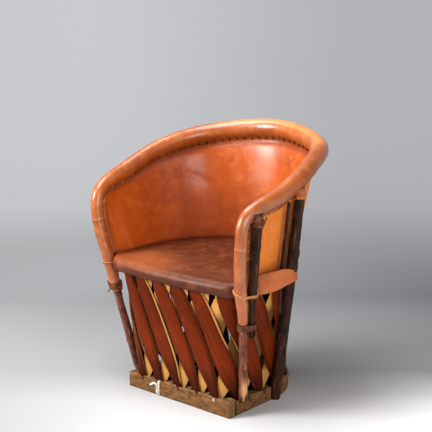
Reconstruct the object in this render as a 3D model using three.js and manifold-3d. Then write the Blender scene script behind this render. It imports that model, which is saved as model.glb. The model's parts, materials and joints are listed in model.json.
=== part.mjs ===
// An equipale armchair: a bucket seat of saddle-brown leather on a crossed lattice of split slats.
// The slats stand in a low D-shaped base of notched planks, and barked sticks prop up the padded rim.
// All lengths are millimetres. +Z is up, the sitter looks along -Y, and +X is on the right of a
// viewer who stands in front of the chair.

import * as THREE from 'three';
import { mergeVertices } from 'three/addons/utils/BufferGeometryUtils.js';
import Module from 'manifold-3d';

const wasm = await Module();
wasm.setup();

// Clearance left between pieces that touch on the real chair, and the overrun of every cutter.
const fit = 0.3;
const overrun = 5;

// Base: a thick front plank, two side planks and a bent plank round the back.
const baseWidth = 435;
const baseDepth = 440;
const plankThickness = 32;
const rearPlankThickness = 24;
const frontPlankHeight = 58;
const frontPlankLeftHeight = 50;
const sidePlankHeight = 47;
const rearPlankHeight = 47;
const pocketWidth = 56;
const pocketDepth = 15;
const pocketWall = 6.5;
const grooveWidth = 11;
const grooveDepth = 10;

// Slats: split strips with bark on one face, an outer layer and an inner layer that lean opposite ways.
const slatWidth = 72;
const slatThickness = 5;
const slatCrown = 1.4;
const layerGap = 4;
const slatInset = 18.5;
const tipSpread = 5;
const slatCornerRadius = 45;
const leanNotches = 1.7;
const frontNotchShares = [0, 0.405, 0.785];
const sideNotchShares = [0.24, 0.8];
const rearNotchShares = [0.13, 0.38, 0.63, 0.88];
const slatLeanShares = [0.84, 0.92, 1.02, 1.1, 1.02, 1, 0.98, 1, 1, 0.98, 1, 1, 0.98, 0.96, 0.9, 0.82, 0.75];
const slatWidthShares = [1, 0.95, 1.03, 0.97, 1.04, 0.98, 1.01, 0.94, 1.02];
const slatRiseShares = [0, 0.05, 0.12, 0.22, 0.42, 0.62, 0.82, 0.93, 1];
const slatOutlineShares = [0.2, 0.35, 0.56, 0.84, 1, 1, 0.97, 0.84, 0.6];
const barkFaceShare = 0.88;

// Seat: a bent hoop under a stretched leather skin with a rounded edge.
const seatHoopWidth = 496;
const seatHoopDepth = 464;
const seatHoopHeight = 418;
const seatOverhang = 30;
const seatHoopRadius = 20;
const seatLeather = 4;
const seatCrown = 14;
const seatEdgeDrop = 23;
const seatEdgeRoll = 3.5;
const flapLift = 18;
const flapLeanShare = 0.35;

// Rim: a padded roll from arm front to arm front, held in leather that is laced to the back leather.
const rimWidth = 654;
const rimDepth = 503;
const rimHeight = 825;
const armReach = 47;
const frontRollRadius = 19;
const armRollRadius = 26;
const backRollRadius = 30;
const rollLeather = 3;
const flapLength = 15;
const backLeather = 3;
const backLeatherEdge = 2;
const tongueEndRadius = 16;

// Sticks: radii at the foot, the seat and the rim, and where each one stands.
const frontPostFootRadius = 15;
const frontPostSetback = 58;
const frontPostLift = 34;
const sidePostFootRadius = 17;
const sidePostRadius = 18.5;
const sidePostTopRadius = 15;
const sidePostSetback = 227;
const thinStickRadius = 10;
const thinStickTopRadius = 9;
const propStickFootRadius = 8;
const propStickRadius = 13;
const propStickTopRadius = 15;
const propStickFoot = 270;
const backPostRadius = 15;
const backPostTopRadius = 13;
const stickLean = 3;
const backPostAngle = 0.22;
const sidePostSeatShare = 0.272;
const thinStickSeatShare = 0.247;
const backPostSeatShare = 0.468;
const sidePostRimShare = 0.671;
const thinStickRimShare = 0.635;
const propStickRimShare = 0.516;
const backPostRimShare = 0.955;

// Lacing: the thong sewn round the rim, the lashings of the corners and the cord on the front plank.
const thongRadius = 1.6;
const stitchPitch = 28;
const stitchReach = 4.5;
const lashingRadius = 2.4;
const lashingPitch = 6.4;
const lashingLoops = 3;
const lashingSlack = 1.1;
const rightLashingDrop = 30;
const strapHeight = 17;
const strapThickness = 2.2;
const rightStrapTilt = 9;
const leftStrapTilt = 2;
const strapRise = 6;
const cordRadius = 3.4;
const cordPitch = 8.5;

// Counts of facets, which have no unit.
const hoopSides = 8;
const rollSides = 10;
const stickSides = 8;
const loopSteps = 24;
const cordSides = 6;
const thongSides = 4;

const group = new THREE.Group();
group.name = 'equipale';

const barkColour = 0x7a3420;
const splitColour = 0xd9b277;
const plankColour = 0x8a5a33;
const stickColour = 0x4a3328;
const leatherColour = 0xb2622f;
const seatColour = 0x9a5630;
const thongColour = 0x5b2f1a;
const cordColour = 0xcfc5b4;

function vec(x, y, z) {
  return new THREE.Vector3(x, y, z);
}

function along(point, direction, distance) {
  return point.clone().addScaledVector(direction, distance);
}

function mix(a, b, share) {
  return a + (b - a) * share;
}

function smooth(value, from, to) {
  const share = Math.min(1, Math.max(0, (value - from) / (to - from)));
  return share * share * (3 - 2 * share);
}

// The inside of a solid is on the left of every face once its signed volume is positive.
function closedSolid(points, faces) {
  let volume = 0;
  for (const [a, b, c] of faces) {
    volume += points[a].dot(points[b].clone().cross(points[c]));
  }
  const positions = new Float32Array(points.flatMap((point) => [point.x, point.y, point.z]));
  const indices = faces.flatMap(([a, b, c]) => (volume > 0 ? [a, b, c] : [a, c, b]));
  const geometry = new THREE.BufferGeometry();
  geometry.setAttribute('position', new THREE.BufferAttribute(positions, 3));
  geometry.setIndex(indices);
  return geometry;
}

// Joins rings of equal counts into a solid. An open run is capped with the faces of its section.
function sweep(rings, isLoop, capFaces) {
  const count = rings[0].length;
  const points = rings.flat();
  const faces = [];
  const runs = isLoop ? rings.length : rings.length - 1;
  for (let i = 0; i < runs; i += 1) {
    const near = i * count;
    const far = ((i + 1) % rings.length) * count;
    for (let j = 0; j < count; j += 1) {
      const next = (j + 1) % count;
      faces.push([near + j, near + next, far + next]);
      faces.push([near + j, far + next, far + j]);
    }
  }
  if (!isLoop) {
    const caps = capFaces ?? fanFaces(count);
    const last = (rings.length - 1) * count;
    for (const [a, b, c] of caps) {
      faces.push([a, c, b]);
      faces.push([last + a, last + b, last + c]);
    }
  }
  return closedSolid(points, faces);
}

function fanFaces(count) {
  return Array.from({ length: count - 2 }, (_, i) => [0, i + 1, i + 2]);
}

// A smooth curve through its points, read by point number, with the ends carried on straight.
function through(points, position) {
  const last = points.length - 1;
  const index = Math.min(last - 1, Math.max(0, Math.floor(position)));
  const share = position - index;
  const a = points[index];
  const b = points[index + 1];
  const before = points[index - 1] ?? a.map((value, k) => 2 * value - b[k]);
  const after = points[index + 2] ?? b.map((value, k) => 2 * value - a[k]);
  const square = share * share;
  const cube = square * share;
  return a.map((value, k) => {
    const leave = (b[k] - before[k]) / 2;
    const arrive = (after[k] - value) / 2;
    const start = 2 * cube - 3 * square + 1;
    const end = 3 * square - 2 * cube;
    return start * value + end * b[k] + (cube - 2 * square + share) * leave + (cube - square) * arrive;
  });
}

function addMesh(name, geometry, colour, roughness) {
  const material = new THREE.MeshStandardMaterial({ color: colour, roughness, metalness: 0 });
  const mesh = new THREE.Mesh(geometry, material);
  mesh.name = name;
  group.add(mesh);
}

function toSolid(geometry) {
  const bare = geometry.clone();
  bare.deleteAttribute('normal');
  bare.deleteAttribute('uv');
  const merged = mergeVertices(bare);
  const vertProperties = new Float32Array(merged.attributes.position.array);
  const triVerts = new Uint32Array(merged.index.array);
  return new wasm.Manifold(new wasm.Mesh({ numProp: 3, vertProperties, triVerts }));
}

function cut(geometry, cutters) {
  let solid = toSolid(geometry);
  for (const cutter of cutters) {
    solid = solid.subtract(toSolid(cutter));
  }
  const mesh = solid.getMesh();
  const result = new THREE.BufferGeometry();
  result.setAttribute('position', new THREE.BufferAttribute(mesh.vertProperties.slice(), 3));
  result.setIndex(new THREE.BufferAttribute(mesh.triVerts.slice(), 1));
  return result;
}

// Plan curves. Each is closed, starts at the front centre and runs to +X first.
function planRing(path) {
  const length = path.getLength();
  const wrap = (share) => ((share % 1) + 1) % 1;
  const at = (share) => path.getPointAt(wrap(share));
  const out = (share) => {
    const tangent = path.getTangentAt(wrap(share));
    return new THREE.Vector2(tangent.y, -tangent.x);
  };
  return { length, at, out };
}

// The line on which the slat tips stand, inside the outer faces of the base.
const baseHalf = baseWidth / 2;
const tipHalf = baseHalf - slatInset;
const tipPath = new THREE.Path();
const tipBackRadius = baseDepth - slatInset - sidePostSetback;
tipPath.moveTo(0, slatInset);
tipPath.lineTo(tipHalf - slatCornerRadius, slatInset);
tipPath.absarc(tipHalf - slatCornerRadius, slatInset + slatCornerRadius, slatCornerRadius,
  -Math.PI / 2, 0, false);
tipPath.lineTo(tipHalf, sidePostSetback);
tipPath.absellipse(0, sidePostSetback, tipHalf, tipBackRadius, 0, Math.PI, false, 0);
tipPath.lineTo(-tipHalf, slatInset + slatCornerRadius);
tipPath.absarc(slatCornerRadius - tipHalf, slatInset + slatCornerRadius, slatCornerRadius,
  Math.PI, Math.PI * 1.5, false);
tipPath.lineTo(0, slatInset);
const tipRing = planRing(tipPath);

// The centre line of the seat hoop, bowed at the front and round at the back.
const seatHalf = seatHoopWidth / 2;
const seatPlanShares = [[0, 0], [0.42, 0.006], [0.74, 0.03], [0.96, 0.09], [0.995, 0.22], [1, 0.4],
  [0.945, 0.575], [0.785, 0.765], [0.46, 0.935], [0, 1]];
const seatPlan = seatPlanShares.map(([x, y]) => [x * seatHalf, y * seatHoopDepth - seatOverhang]);
const seatPlanLeft = seatPlan.slice(1, -1).reverse().map(([x, y]) => [-x, y]);
const seatLoop = [...seatPlan, ...seatPlanLeft];
const seatTurns = [...seatLoop.slice(-2), ...seatLoop, ...seatLoop.slice(0, 3)];
const seatPath = new THREE.Path();
const seatSteps = 12;
seatPath.moveTo(0, -seatOverhang);
for (let i = 1; i <= seatLoop.length * seatSteps; i += 1) {
  const [x, y] = through(seatTurns, 2 + i / seatSteps);
  seatPath.lineTo(x, y);
}
const seatRing = planRing(seatPath);

function seatPoint(share, outward, height) {
  const centre = seatRing.at(share);
  const step = ringOut(share);
  return vec(centre.x + step.x * outward, centre.y + step.y * outward, height);
}

// Outward direction of the seat hoop, averaged over a short run so that the corners turn smoothly.
function ringOut(share) {
  const spanShares = [-0.02, -0.01, 0, 0.01, 0.02];
  const sum = new THREE.Vector2(0, 0);
  for (const spanShare of spanShares) {
    sum.add(seatRing.out(share + spanShare));
  }
  return sum.normalize();
}

// Notches of the base, front centre first. Their shares along the tip line are found from the planks.
function shareWhere(test, from, to) {
  let low = from;
  let high = to;
  for (let i = 0; i < 40; i += 1) {
    const middle = (low + high) / 2;
    if (test(tipRing.at(middle))) {
      high = middle;
    } else {
      low = middle;
    }
  }
  return (low + high) / 2;
}

const sideStart = plankThickness;
const sideEnd = sidePostSetback - sidePostFootRadius;
const postShare = shareWhere((point) => point.y > sidePostSetback, 0.1, 0.45);
const halfNotches = [
  ...frontNotchShares.map((share) => shareWhere((point) => point.x > share * tipHalf, 0, 0.15)),
  ...sideNotchShares.map((share) => {
    const setback = mix(sideStart, sideEnd, share);
    return shareWhere((point) => point.y > setback, 0.05, 0.45);
  }),
  ...rearNotchShares.map((share) => mix(postShare, 0.5, share)),
];
const notches = [...halfNotches, ...halfNotches.slice(1).reverse().map((share) => 1 - share)];

// Reads the notch line between notches and past its ends.
function notchLine(number) {
  const whole = Math.floor(number);
  const read = (k) => {
    const turns = Math.floor(k / notches.length);
    return notches[k - turns * notches.length] + turns;
  };
  return mix(read(whole), read(whole + 1), number - whole);
}

function frontTopAt(x) {
  return mix(frontPlankLeftHeight, frontPlankHeight, x / baseWidth + 0.5);
}

function plankTopAt(share) {
  const point = tipRing.at(share);
  return point.y < plankThickness ? frontTopAt(point.x) : sidePlankHeight;
}

// The lattice surface: straight from the tip line up to the underside of the seat hoop, which stands on it.
const latticeBase = sidePlankHeight - pocketDepth;
const latticeTop = seatHoopHeight - seatHoopRadius - fit;

function latticePoint(share, height) {
  const low = tipRing.at(share);
  const high = seatPoint(share, 0, height);
  const rise = (height - latticeBase) / (latticeTop - latticeBase);
  return vec(mix(low.x, high.x, rise), mix(low.y, high.y, rise), height);
}

// Level direction out of the lattice, so that each ring of a slat stays level.
function latticeOut(share, height) {
  const stepShare = 0.004;
  const stepUp = slatThickness;
  const across = latticePoint(share + stepShare, height).sub(latticePoint(share - stepShare, height));
  const up = latticePoint(share, height + stepUp).sub(latticePoint(share, height - stepUp));
  return across.cross(up).setZ(0).normalize();
}

function latticeLength(height) {
  const rise = (height - latticeBase) / (latticeTop - latticeBase);
  return mix(tipRing.length, seatRing.length, rise);
}

// One slat. The bark face of the outer layer looks out, and that of the inner layer looks in.
function slat(number, layer, widthShare) {
  const tipShare = notchLine(number) - (layer * tipSpread) / tipRing.length;
  const own = layer > 0 ? number : (notches.length - number) % notches.length;
  const topShare = notchLine(number - layer * leanNotches * slatLeanShares[own]);
  const tipHeight = plankTopAt(notchLine(number)) - pocketDepth + fit;
  const rings = slatRiseShares.map((rise, i) => {
    const height = mix(tipHeight, latticeTop, rise);
    const centreShare = mix(tipShare, topShare, rise);
    const half = (slatWidth * widthShare * slatOutlineShares[i]) / 2 / latticeLength(height);
    const at = (side, offset) => {
      const share = centreShare + side * half;
      return along(latticePoint(share, height), latticeOut(share, height), layer * offset);
    };
    const split = layerGap / 2;
    const bark = split + slatThickness;
    return [at(-1, split), at(0, split), at(1, split), at(barkFaceShare, bark),
      at(0, bark + slatCrown), at(-barkFaceShare, bark)];
  });
  const caps = [[0, 1, 5], [1, 4, 5], [1, 2, 4], [2, 3, 4]];
  return sweep(rings, false, caps);
}

function padNumber(number) {
  return String(number).padStart(2, '0');
}

notches.forEach((_, i) => {
  const number = padNumber(i + 1);
  const widthShare = slatWidthShares[i % slatWidthShares.length];
  addMesh('outer_slat_' + number, slat(i, 1, widthShare), barkColour, 0.5);
  addMesh('inner_slat_' + number, slat(i, -1, widthShare), splitColour, 0.6);
});

// Rim path, right half: foot of the front post, lower lashing, seat, arm front, bend, arm, back.
const rimHalf = rimWidth / 2;
const rimRise = rimHeight - seatHoopHeight;
const rollX = seatHalf + seatHoopRadius + frontRollRadius / 2;
const footX = baseHalf + frontPostFootRadius / 2;
const footToSeat = seatHoopHeight - frontPostLift;
const rimPathShares = {
  lowLashing: [0.83, 0.72, 0.74],
  armFront: [0.914, 0.347],
  bend: [0.939, 0.6, 0.578],
  arm: [1, 0.211, 0.693],
  armBack: [0.942, 0.543, 0.848],
  shoulder: [0.673, 0.847, 0.941],
};
const lowShares = rimPathShares.lowLashing;
const seatRollReach = seatOverhang * 0.7;
const rimRight = [
  [footX, frontPostSetback, frontPostLift, frontPostFootRadius + rollLeather + fit],
  [mix(footX, rollX, lowShares[0]), mix(frontPostSetback, -seatRollReach, lowShares[1]),
    frontPostLift + footToSeat * lowShares[2], tongueEndRadius],
  [rollX, -seatRollReach, seatHoopHeight, frontRollRadius],
  [rimHalf * rimPathShares.armFront[0], -armReach,
    seatHoopHeight + rimRise * rimPathShares.armFront[1], frontRollRadius],
  [rimHalf * rimPathShares.bend[0], -armReach * rimPathShares.bend[1],
    seatHoopHeight + rimRise * rimPathShares.bend[2], mix(frontRollRadius, armRollRadius, 0.2)],
  [rimHalf * rimPathShares.arm[0], rimDepth * rimPathShares.arm[1],
    seatHoopHeight + rimRise * rimPathShares.arm[2], armRollRadius],
  [rimHalf * rimPathShares.armBack[0], rimDepth * rimPathShares.armBack[1],
    seatHoopHeight + rimRise * rimPathShares.armBack[2], mix(armRollRadius, backRollRadius, 0.3)],
  [rimHalf * rimPathShares.shoulder[0], rimDepth * rimPathShares.shoulder[1],
    seatHoopHeight + rimRise * rimPathShares.shoulder[2], backRollRadius],
];
const rimBack = [0, rimDepth, rimHeight, backRollRadius];
const rimLeft = rimRight.map(([x, y, z, radius]) => [-x, y, z, radius]).reverse();
const rimPoints = [...rimRight, rimBack, ...rimLeft];
const rimEnd = rimPoints.length - 1;
const rimMiddle = rimEnd / 2;
const seatStopIndex = 2;
const joinStopIndex = 3;
const bendStopIndex = 4;

function rimCentre(stop) {
  const [x, y, z] = through(rimPoints, stop);
  return vec(x, y, z);
}

function rimRadius(stop) {
  return through(rimPoints, stop)[3];
}

// The back leather stands on the seat leather, just outside the centre line of the hoop.
const seatTop = seatHoopHeight + seatHoopRadius + fit + seatLeather;
const backLeatherFoot = seatTop + 2 * fit;
const backLeatherOffset = seatHoopRadius - backLeather;
const sideStartShare = 0.19;

function rimRunShare(stop) {
  const even = (stop - bendStopIndex) / (rimMiddle - bendStopIndex);
  return mix(smooth(stop, bendStopIndex - 1, rimMiddle), even, 0.5);
}

// Frame of the roll: the direction into the back leather, and the direction towards the sitter.
function rimFrame(stop) {
  const mirrored = stop > rimMiddle;
  const own = mirrored ? rimEnd - stop : stop;
  const centre = rimCentre(own);
  const nudgeShare = 0.01;
  const travel = rimCentre(own + nudgeShare).sub(rimCentre(own - nudgeShare)).normalize();
  const footShare = mix(sideStartShare, 0.5, Math.max(0, rimRunShare(own)));
  const footPoint = seatPoint(footShare, backLeatherOffset, backLeatherFoot);
  const down = footPoint.sub(centre).normalize();
  const backward = vec(-0.06, 1, 0);
  const into = backward.lerp(down, smooth(own, bendStopIndex - 0.9, bendStopIndex + 1)).normalize();
  into.addScaledVector(travel, -into.dot(travel)).normalize();
  if (mirrored) {
    centre.x = -centre.x;
    into.x = -into.x;
    travel.set(travel.x, -travel.y, -travel.z);
  }
  const inward = travel.clone().cross(into).normalize();
  return { centre, into, inward, travel, radius: rimRadius(own), stop };
}

function rimSpot(frame, depth, side) {
  return along(along(frame.centre, frame.into, depth), frame.inward, side);
}

// The stop at which the roll passes the foot of the back leather.
let footStop = seatStopIndex;
while (rimCentre(footStop).z < backLeatherFoot) {
  footStop += 0.002;
}
const halfStops = [1, 1.5, seatStopIndex, footStop, mix(footStop, joinStopIndex, 0.5), joinStopIndex,
  3.35, 3.7, bendStopIndex, 4.15, 4.35, 4.6, 4.8, 5, 5.3, 5.6, 6, 6.3, 6.6, 7, 7.25, 7.5, 7.75];
const stops = [...halfStops, rimMiddle, ...halfStops.slice().reverse().map((stop) => rimEnd - stop)];
const frames = stops.map(rimFrame);
const footIndex = halfStops.indexOf(footStop);
const bendIndex = halfStops.indexOf(bendStopIndex);
const joinIndex = halfStops.indexOf(joinStopIndex);
const lastIndex = stops.length - 1;

// Leather of the rim: an open tube whose two flaps hold the edge of the back leather.
const slotHalf = backLeather / 2 + 2 * fit;
const rollAngles = Array.from({ length: rollSides - 1 }, (_, i) => ((i + 1) * 2 * Math.PI) / rollSides);

function flapAt(stop) {
  const own = Math.min(stop, rimEnd - stop);
  return mix(fit, flapLength, smooth(own, footStop, footStop + 0.25));
}

function rollSection(frame) {
  const inner = frame.radius - rollLeather;
  const lip = slotHalf + rollLeather;
  const flap = frame.radius + flapAt(frame.stop);
  const outerArc = rollAngles.map((angle) => [frame.radius * Math.cos(angle), frame.radius * Math.sin(angle)]);
  const innerArc = rollAngles.map((angle) => [inner * Math.cos(angle), inner * Math.sin(angle)]);
  const outerRoot = Math.sqrt(frame.radius ** 2 - lip ** 2);
  const innerRoot = Math.sqrt(inner ** 2 - slotHalf ** 2);
  return [[flap, lip], [outerRoot, lip], ...outerArc, [outerRoot, -lip], [flap, -lip], [flap, -slotHalf],
    [innerRoot, -slotHalf], ...innerArc.reverse(), [innerRoot, slotHalf], [flap, slotHalf]];
}

const rollRings = frames.map((frame) => rollSection(frame).map(([d, n]) => rimSpot(frame, d, n)));
const rollShape = rollSection(frames[0]).map(([d, n]) => new THREE.Vector2(d, n));
const rollCaps = THREE.ShapeUtils.triangulateShape(rollShape, []);
addMesh('rim_leather', sweep(rollRings, false, rollCaps), leatherColour, 0.45);

// Core of the roll, and the front posts that stand inside its lower ends.
function coreRing(frame, shrink) {
  const radius = frame.radius - rollLeather - 2 * fit - shrink;
  return [0, ...rollAngles].map((angle) => rimSpot(frame, radius * Math.cos(angle), radius * Math.sin(angle)));
}

function shifted(frame, distance) {
  return { ...frame, centre: along(frame.centre, frame.travel, distance) };
}

const coreFrames = frames.slice(joinIndex, lastIndex - joinIndex + 1);
coreFrames[0] = shifted(coreFrames[0], fit / 2);
coreFrames[coreFrames.length - 1] = shifted(coreFrames[coreFrames.length - 1], -fit / 2);
addMesh('rim_core', sweep(coreFrames.map((frame) => coreRing(frame, 0)), false), splitColour, 0.7);

const postStops = [0, 0.2, 0.45, 0.7, 0.9];
function frontPostRings(isLeft, grow) {
  const low = postStops.map((stop) => rimFrame(isLeft ? rimEnd - stop : stop));
  const high = isLeft ? frames.slice(lastIndex - joinIndex).reverse() : frames.slice(0, joinIndex + 1);
  const all = [...low, ...high];
  all[0] = shifted(all[0], isLeft ? grow : -grow);
  all[all.length - 1] = shifted(all[all.length - 1], isLeft ? fit / 2 : -fit / 2);
  return all.map((frame) => coreRing(frame, -grow));
}

addMesh('front_post_right', sweep(frontPostRings(false, 0), false), stickColour, 0.8);
addMesh('front_post_left', sweep(frontPostRings(true, 0), false), stickColour, 0.8);

// Back leather: a patch between the seat and the roll, with an edge strip held by the flaps.
const stripDepth = (frame) => frame.radius + flapLength + backLeatherEdge;
const edgeDepth = (frame) => frame.radius + fit;
const topFrames = frames.slice(bendIndex, lastIndex - bendIndex + 1);
const rightFrames = frames.slice(footIndex, bendIndex + 1);
const leftFrames = frames.slice(lastIndex - bendIndex, lastIndex - footIndex + 1).reverse();
const topEdge = topFrames.map((frame) => rimSpot(frame, stripDepth(frame), 0));
const rightEdge = rightFrames.map((frame) => rimSpot(frame, stripDepth(frame), 0));
const leftEdge = leftFrames.map((frame) => rimSpot(frame, stripDepth(frame), 0));
const columns = topEdge.length - 1;
const rows = rightEdge.length - 1;

function runShares(points) {
  const lengths = [0];
  for (let i = 1; i < points.length; i += 1) {
    lengths.push(lengths[i - 1] + points[i].distanceTo(points[i - 1]));
  }
  return lengths.map((length) => length / lengths[points.length - 1]);
}

const columnShares = runShares(topEdge);
const rowShares = runShares(rightEdge);
const footSteps = 60;
const footLine = [rightEdge[0]];
for (let i = 0; i <= footSteps; i += 1) {
  const share = mix(sideStartShare, 1 - sideStartShare, i / footSteps);
  footLine.push(seatPoint(share, backLeatherOffset, backLeatherFoot));
}
footLine.push(leftEdge[0]);
const footCurve = new THREE.CatmullRomCurve3(footLine);
const footEdge = columnShares.map((share) => footCurve.getPointAt(share));
footEdge.forEach((point) => {
  point.z = backLeatherFoot;
});
footEdge[0].copy(rightEdge[0]);
footEdge[columns].copy(leftEdge[0]);

function patchPoint(i, j) {
  const u = columnShares[i];
  const v = rowShares[j];
  const point = footEdge[i].clone().multiplyScalar(1 - v).addScaledVector(topEdge[i], v);
  point.addScaledVector(rightEdge[j], 1 - u).addScaledVector(leftEdge[j], u);
  point.addScaledVector(footEdge[0], -(1 - u) * (1 - v)).addScaledVector(footEdge[columns], -u * (1 - v));
  point.addScaledVector(topEdge[0], -(1 - u) * v).addScaledVector(topEdge[columns], -u * v);
  return point;
}

const patch = Array.from({ length: columns + 1 }, (_, i) => (
  Array.from({ length: rows + 1 }, (__, j) => patchPoint(i, j))));

function patchInward(i, j) {
  if (j === rows) {
    return topFrames[i].inward;
  }
  if (i === 0) {
    return rightFrames[j].inward;
  }
  if (i === columns) {
    return leftFrames[j].inward;
  }
  const across = patch[i + 1][j].clone().sub(patch[i - 1][j]);
  const up = patch[i][j + 1].clone().sub(patch[i][Math.max(0, j - 1)]);
  return up.cross(across).normalize();
}

function backLeatherSolid() {
  const points = [];
  const faces = [];
  const pairs = new Map();
  const addPair = (key, middle, inward) => {
    pairs.set(key, points.length);
    points.push(along(middle, inward, backLeather / 2), along(middle, inward, -backLeather / 2));
  };
  for (let i = 0; i <= columns; i += 1) {
    for (let j = 0; j <= rows; j += 1) {
      addPair('p' + i + '_' + j, patch[i][j], patchInward(i, j));
    }
  }
  const edgeFrames = frames.slice(footIndex, lastIndex - footIndex + 1);
  edgeFrames.forEach((frame, k) => addPair('e' + k, rimSpot(frame, edgeDepth(frame), 0), frame.inward));
  const border = [];
  for (let j = 0; j <= rows; j += 1) {
    border.push('p0_' + j);
  }
  for (let i = 1; i <= columns; i += 1) {
    border.push('p' + i + '_' + rows);
  }
  for (let j = rows - 1; j >= 0; j -= 1) {
    border.push('p' + columns + '_' + j);
  }
  const quad = (a, b, c, d) => {
    const [p, q, r, s] = [a, b, c, d].map((key) => pairs.get(key));
    faces.push([p, q, r], [p, r, s], [p + 1, r + 1, q + 1], [p + 1, s + 1, r + 1]);
  };
  for (let i = 0; i < columns; i += 1) {
    for (let j = 0; j < rows; j += 1) {
      quad('p' + i + '_' + j, 'p' + (i + 1) + '_' + j, 'p' + (i + 1) + '_' + (j + 1), 'p' + i + '_' + (j + 1));
    }
  }
  for (let k = 0; k < border.length - 1; k += 1) {
    quad(border[k], border[k + 1], 'e' + (k + 1), 'e' + k);
  }
  const outline = edgeFrames.map((_, k) => 'e' + k);
  for (let i = columns; i >= 0; i -= 1) {
    outline.push('p' + i + '_0');
  }
  outline.forEach((key, k) => {
    const a = pairs.get(key);
    const b = pairs.get(outline[(k + 1) % outline.length]);
    faces.push([a, b, b + 1], [a, b + 1, a + 1]);
  });
  return closedSolid(points, faces);
}

addMesh('back_leather', backLeatherSolid(), leatherColour, 0.5);

// Thong sewn along the inner flap. It follows the facets of the roll so that it lies on them.
function facetSpot(run, depthOf, side) {
  const index = Math.min(frames.length - 2, Math.floor(run));
  const share = run - index;
  const near = rimSpot(frames[index], depthOf(frames[index]), side);
  const far = rimSpot(frames[index + 1], depthOf(frames[index + 1]), side);
  return near.lerp(far, share);
}

function tube(path, radius, sides) {
  const rings = [];
  let side = vec(0, 0, 1);
  path.forEach((point, i) => {
    const before = path[Math.max(0, i - 1)];
    const after = path[Math.min(path.length - 1, i + 1)];
    const travel = after.clone().sub(before).normalize();
    side = side.clone().addScaledVector(travel, -side.dot(travel));
    if (side.length() < 0.1) {
      side = vec(1, 0, 0).addScaledVector(travel, -travel.x);
    }
    side.normalize();
    const other = travel.clone().cross(side);
    rings.push(Array.from({ length: sides }, (_, k) => {
      const angle = ((k + 0.5) * 2 * Math.PI) / sides;
      return along(along(point, side, radius * Math.cos(angle)), other, radius * Math.sin(angle));
    }));
  });
  return sweep(rings, false);
}

const thongFrom = footIndex + 1;
const thongTo = lastIndex - footIndex - 1;
const thongLine = [];
const runSteps = 600;
for (let i = 0; i <= runSteps; i += 1) {
  thongLine.push(facetSpot(mix(thongFrom, thongTo, i / runSteps), (frame) => frame.radius, 0));
}
const thongRuns = runShares(thongLine);
let thongLength = 0;
for (let i = 1; i <= runSteps; i += 1) {
  thongLength += thongLine[i].distanceTo(thongLine[i - 1]);
}
const stitches = Math.round(thongLength / stitchPitch);
const thongSide = slotHalf + rollLeather + 1.5 * fit + thongRadius;
const thongPath = [];
for (let i = 0; i <= stitches * 2; i += 1) {
  const share = i / (stitches * 2);
  const step = thongRuns.findIndex((value) => value >= share);
  const run = mix(thongFrom, thongTo, step / runSteps);
  const reach = i % 2 === 0 ? -stitchReach : stitchReach;
  thongPath.push(facetSpot(run, (frame) => frame.radius + flapLength - stitchReach / 2 + reach, thongSide));
}
addMesh('rim_lacing', tube(thongPath, thongRadius, thongSides), thongColour, 0.7);

// Seat hoop and the leather stretched over it.
const frontRingShares = [0, 0.021, 0.042, 0.063, 0.083, 0.104, 0.125, 0.146];
const backRingShares = [0.303, 0.32, 0.34, 0.36, 0.38, 0.4, 0.42, 0.44, 0.46, 0.48];
const flapRingShares = [0.166, 0.18, 0.2, 0.22, 0.24, 0.258, 0.265, 0.272, 0.279, 0.287];
const halfRingShares = [...frontRingShares, ...flapRingShares, ...backRingShares];
const otherRingShares = halfRingShares.slice(1).reverse().map((share) => 1 - share);
const ringShares = [...halfRingShares, 0.5, ...otherRingShares];
const ringSteps = ringShares.length;
const hoopRings = ringShares.map((share) => Array.from({ length: hoopSides }, (_, k) => {
  const angle = (k * 2 * Math.PI) / hoopSides;
  return seatPoint(share, seatHoopRadius * Math.cos(angle), seatHoopHeight + seatHoopRadius * Math.sin(angle));
}));
addMesh('seat_hoop', sweep(hoopRings, true), stickColour, 0.8);

// The side flap of the seat leather stands up behind the prop stick and goes round the rear side post.
const flapPlaceShares = [0.146, 0.166, 0.18, 0.24, 0.258, 0.272, 0.279, 0.287, 0.303];
const flapReachShares = [0, 0.41, 0.3, 0.7, 0.84, 0.98, 0.88, 0.4, 0];
const flapLiftShares = [0, -0.25, 0.9, 1, 0.6, 0, -0.5, -0.4, 0];
const flapReach = seatLeather + 2 * sidePostRadius + 2 * fit;

function flapAtSeat(share, valueShares) {
  const own = Math.min(share, 1 - share);
  const index = flapPlaceShares.findIndex((place) => place > own);
  if (index < 1) {
    return 0;
  }
  const from = flapPlaceShares[index - 1];
  const run = (own - from) / (flapPlaceShares[index] - from);
  return mix(valueShares[index - 1], valueShares[index], run);
}

const seatCentre = vec(0, seatHoopDepth / 2 - seatOverhang, 0);
function seatInside(share, spread, height) {
  const edge = seatPoint(share, 0, height);
  return vec(mix(seatCentre.x, edge.x, spread), mix(seatCentre.y, edge.y, spread), height);
}

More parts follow.
